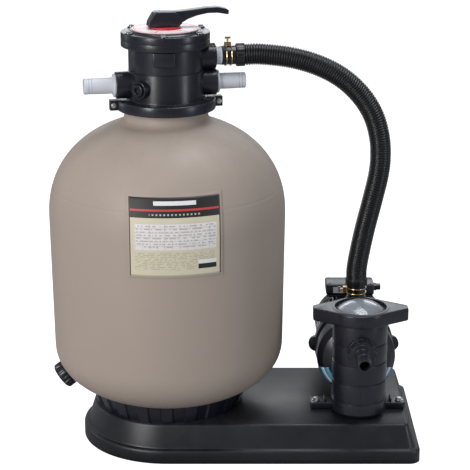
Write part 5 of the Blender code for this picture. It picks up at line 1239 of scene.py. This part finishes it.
# %% The pump's two fittings
nut = extruded(toothed(10, 0.0300, 0.0278), 0.0665, 0.0848, 0.0012, 2)
stem = turned(
    rounded(
        [(0.0105, 0.050), (0.0202, 0.050), (0.0202, 0.0664), (0.0245, 0.0664), (0.0245, 0.0862, 0.001), (0.0172, 0.0862, 0.001),
         (0.0160, 0.0880), (0.0160, 0.1125, 0.0014), (0.0138, 0.1145, 0.0006), (0.0135, 0.1200), (0.0135, 0.1435, 0.0008),
         (0.0105, 0.1435, 0.0006)], 3, closed=True
    ),
    64,
    closed=True,
)
suction = gathered(nut, stem)
suction.transform(Matrix.Translation((0, 0, SUCTION)) @ FORWARD)
piece(suction, "suction_tail", black_plastic, ROOT, ["suction_adapter"], STRAINER)
knurl = extruded(toothed(16, 0.0235, 0.0222), 0.1887, 0.2150, 0.0010, 2)
sleeve = turned(
    rounded(
        [(0.0130, 0.168), (0.0202, 0.168), (0.0202, 0.1884), (0.0212, 0.1884), (0.0212, 0.2200, 0.001), (0.0160, 0.2200),
         (0.0160, 0.2555, 0.001), (0.0130, 0.2555)], 3, closed=True
    ),
    64,
    closed=True,
)
outlet_place = Matrix.Translation((DISCHARGE.x, DISCHARGE.y, BASE_TOP))
piece(gathered(knurl, sleeve), "discharge_collar", black_plastic, ROOT, ["discharge_adapter"], outlet_place)
print("suction tail", made["suction_tail"], "discharge collar", made["discharge_collar"])

# %% [markdown]
# ## The motor
# A seal plate closes the volute and carries the foot. Behind it come the finned motor, its fan cover, and
# the terminal box on top with the cable gland at its side.

# %% The bracket and its bolts
plate = rod(0.0889, (0, 0, 0.0764), (0, 0, 0.0880), 0.0010, 96)
ears = [rod(0.018, (x, 0, 0.0764), (x, 0, 0.0880), 0.0010, 40) for x in (-0.084, 0.084)]
bracket = gathered(plate, *ears)
bracket.transform(PUMP.inverted() @ AXLE)
foot_outline = rounded(
    [(-0.1033, -0.080, 0.004), (0.1033, -0.080, 0.004), (0.1033, -0.045, 0.004), (0.050, -0.045, 0.004),
     (0.050, 0.088), (-0.050, 0.088), (-0.050, -0.045, 0.004), (-0.1033, -0.045, 0.004)], 4, closed=True
)
foot = extruded(foot_outline, 0.0004, 0.0143, 0.0016, 3)
pot_room = rod(0.0594, (0, POT.y, -0.01), (0, POT.y, 0.05), 0.0, 72)
foot = carved(foot, [pot_room], "DIFFERENCE")
webs = [block((x - 0.0022, -0.074, 0.012), (x + 0.0022, -0.050, 0.0215), 0.0010, 2) for x in (-0.072, 0.072)]
piece(gathered(bracket, foot, *webs), "seal_plate", black_plastic, ROOT, ["motor_bracket"], PUMP)
for name, x in (("foot_bolt_left", -0.090), ("foot_bolt_right", 0.090)):
    head = hexagon_head(0.0072, 0.0146, 0.0201)
    shank = rod(0.0038, (0, 0, -0.0150), (0, 0, 0.0150), 0.0, 24)
    at = PUMP @ Matrix.Translation((x, -0.0625, 0.0))
    piece(gathered(head, shank), f"{name}_steel", steel, ROOT, [name], at)
print("bracket", made["seal_plate"], "faces")

# %% The motor housing, fan cover and terminal box
fins = extruded(toothed(44, 0.0798, 0.0735), 0.0930, 0.2060, 0.0006, 1)
front = rod(0.0790, (0, 0, 0.0886), (0, 0, 0.0960), 0.0012, 96)
rear = rod(0.0790, (0, 0, 0.2020), (0, 0, 0.2108), 0.0012, 96)
piece(gathered(fins, front, rear), "finned_motor", black_plastic, ROOT, ["motor_housing"], AXLE, 30.0)
cowl = turned(
    rounded(
        [(0, 0.250), (0.074, 0.250, 0.004), (0.080, 0.244, 0.004), (0.080, 0.2114), (0.077, 0.2114), (0.077, 0.242), (0.071, 0.2465),
         (0, 0.2465)], 4
    ),
    96,
)
slots = []
for index in range(9):
    x = 0.014 * (index - 4)
    half = math.sqrt(0.062**2 - x**2)
    slots.append(block((x - 0.0035, -half, 0.240), (x + 0.0035, half, 0.260)))
piece(carved(cowl, slots, "DIFFERENCE"), "fan_cowl", black_plastic, ROOT, ["fan_cover"], AXLE)
seat = block((-0.035, 0.154, 0.158), (0.035, 0.204, 0.184), 0.002)
box_lid = block((-0.060, 0.150, 0.1835), (0.050, 0.208, 0.208), 0.0042, 4)
box_base = block((-0.058, 0.152, 0.1775), (0.048, 0.206, 0.1830), 0.0020)
screws = [rod(0.0035, (x, y, 0.2075), (x, y, 0.2092), 0.0006, 24) for x in (-0.052, 0.042) for y in (0.157, 0.201)]
for screw in screws:
    bmesh.ops.translate(screw, verts=screw.verts, vec=(0, 0, -0.0012))
terminals = gathered(seat, box_lid, box_base, *screws)
piece(terminals, "terminal_housing", black_plastic, ROOT, ["terminal_box"], PUMP)
print("motor", made["finned_motor"], "cowl", made["fan_cowl"], "terminal box", made["terminal_housing"])

# %% [markdown]
# A small pale sticker stands on the front of the terminal box, where the real pump has its ratings. It is a
# thin film, left plain, and its back lies just inside the box so that no gap shows round it.

# %% The terminal box's sticker
film = block((-0.044, 0.1497, 0.1885), (-0.016, 0.1501, 0.2030))
piece(film, "box_sticker", white_plastic, ROOT, place=PUMP)
print("sticker", made["box_sticker"])

# %% [markdown]
# Round the volute's front edge run three printed stripes, at each side low down. Each is a strip of the
# volute's own profile, spun through a part of a turn and a little proud of it.

# %% The volute's stripes
STRIPES = (
    ("teal", (0.010, 0.17, 0.27), (0.0872, 0.0020), (0.0815, -0.0072)),
    ("pale", (0.62, 0.68, 0.80), (0.0811, -0.0079), (0.0742, -0.0154)),
    ("blue", (0.10, 0.36, 0.52), (0.0735, -0.0158), (0.0640, -0.0210)),
)
for name, colour, outer, inner in STRIPES:
    stripe_material, tree, shader = shader_of(f"{name}_stripe")
    shader.inputs["Base Color"].default_value = (*colour, 1.0)
    shader.inputs["Roughness"].default_value = 0.3
    for side, first_angle in (("left", 132.0), ("right", 16.0)):
        strip = turned([outer, inner], 12, False, math.radians(32.0))
        strip.transform(Matrix.Translation((0, 0, -0.0008)) @ Matrix.Rotation(math.radians(first_angle), 4, "Z"))
        obj = piece(strip, f"{name}_stripe_{side}", stripe_material, ROOT, place=AXLE)
        film = obj.modifiers.new("film", "SOLIDIFY")
        film.thickness = 0.0004
        film.offset = 0.0
print(len(STRIPES), "stripes at each side")

# %% [markdown]
# ## The rest of the finishes
# The CAD pieces that are still shown, such as the wire clamps, the washer, the seals and the parts inside,
# keep their meshes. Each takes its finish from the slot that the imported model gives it.

# %% Finishes for the CAD pieces
slot_finish = {
    "tank_plastic": tank_plastic,
    "base_plastic": tray_plastic,
    "hose_plastic": hose_plastic,
    "white_plastic": white_plastic,
    "grey_plastic": grey_plastic,
    "washer_plastic": red_plastic,
    "clear_plastic": clear_plastic,
    "seal_rubber": rubber,
    "steel": steel,
    "gold_zinc_steel": gold_zinc,
}
for subpart in frame["record"]["subparts"]:
    mesh = nodes[subpart["node"]].data
    mesh.materials.clear()
    mesh.materials.append(slot_finish.get(subpart["material_slot"], black_plastic))
print(len(nodes), "CAD pieces have a finish")

# %% [markdown]
# ## Floor, light and camera
# A wide white floor and a white surround give the plain studio ground. The surround is white to the camera
# and much dimmer to the pieces, because black plastic that mirrors white all round looks grey. A broad soft
# light stands in front on the left, a weaker one fills the right, and one behind draws the black edges.

# %% The stage
bpy.context.scene.view_settings.view_transform = "Standard"
bpy.ops.mesh.primitive_plane_add(size=30.0, location=(0.0, 0.0, -0.0004))
floor = bpy.context.object
floor.name = "floor"
floor_material, tree, shader = shader_of("pale_floor")
shader.inputs["Base Color"].default_value = (0.42, 0.42, 0.43, 1.0)
shader.inputs["Roughness"].default_value = 0.8
seen = add_node(tree, "ShaderNodeLightPath")
glow = add_node(tree, "ShaderNodeMath", operation="MULTIPLY")
glow.inputs[1].default_value = 0.95
link(tree, seen.outputs["Is Camera Ray"], glow.inputs[0])
shader.inputs["Emission Color"].default_value = (1.0, 1.0, 1.0, 1.0)
link(tree, glow.outputs["Value"], shader.inputs["Emission Strength"])
floor.data.materials.append(floor_material)

world = bpy.data.worlds.new("surround")
bpy.context.scene.world = world
world.use_nodes = True
tree = world.node_tree
background = tree.nodes["Background"]
background.inputs["Color"].default_value = (0.94, 0.96, 1.0, 1.0)
seen = add_node(tree, "ShaderNodeLightPath")
strength = add_node(tree, "ShaderNodeMapRange")
strength.inputs["To Min"].default_value = 0.30
strength.inputs["To Max"].default_value = 1.30
link(tree, seen.outputs["Is Camera Ray"], strength.inputs["Value"])
link(tree, strength.outputs["Result"], background.inputs["Strength"])


def soft_light(name, location, target, size, power, colour=(1.0, 1.0, 1.0)):
    data = bpy.data.lights.new(name, "AREA")
    data.shape = "RECTANGLE"
    data.size, data.size_y = size
    data.energy = power
    data.color = colour
    light = bpy.data.objects.new(name, data)
    bpy.context.scene.collection.objects.link(light)
    light.location = location
    light.visible_camera = False
    light.rotation_euler = (Vector(target) - Vector(location)).to_track_quat("-Z", "Y").to_euler()
    return light


aim = (0.0, 0.0, 0.45)
soft_light("key", (-1.9, -2.3, 1.5), aim, (0.8, 1.9), 66.0)
soft_light("fill", (2.4, -1.4, 1.0), aim, (0.5, 1.6), 16.0, (0.85, 0.92, 1.0))
soft_light("top", (0.3, 0.2, 2.6), aim, (1.4, 1.0), 30.0, (0.90, 0.95, 1.0))
soft_light("behind", (0.2, 2.9, 1.5), aim, (3.0, 0.9), 20.0, (0.92, 0.96, 1.0))
soft_light("rim", (-2.6, 1.2, 1.0), (0.2, 0.0, 0.3), (0.4, 1.4), 5.0, (0.92, 0.96, 1.0))
print("stage and", len(bpy.data.lights), "lights")

# %% The camera
camera_data = bpy.data.cameras.new("camera")
camera_data.sensor_width = 36.0
camera_data.lens = 122.55
camera = bpy.data.objects.new("camera", camera_data)
bpy.context.scene.collection.objects.link(camera)
camera.location = (0.0015, -3.3155, 1.4667)
camera.rotation_euler = (math.radians(73.0), 0.0, 0.0)
bpy.context.scene.camera = camera
print("camera", [round(c, 3) for c in camera.location])
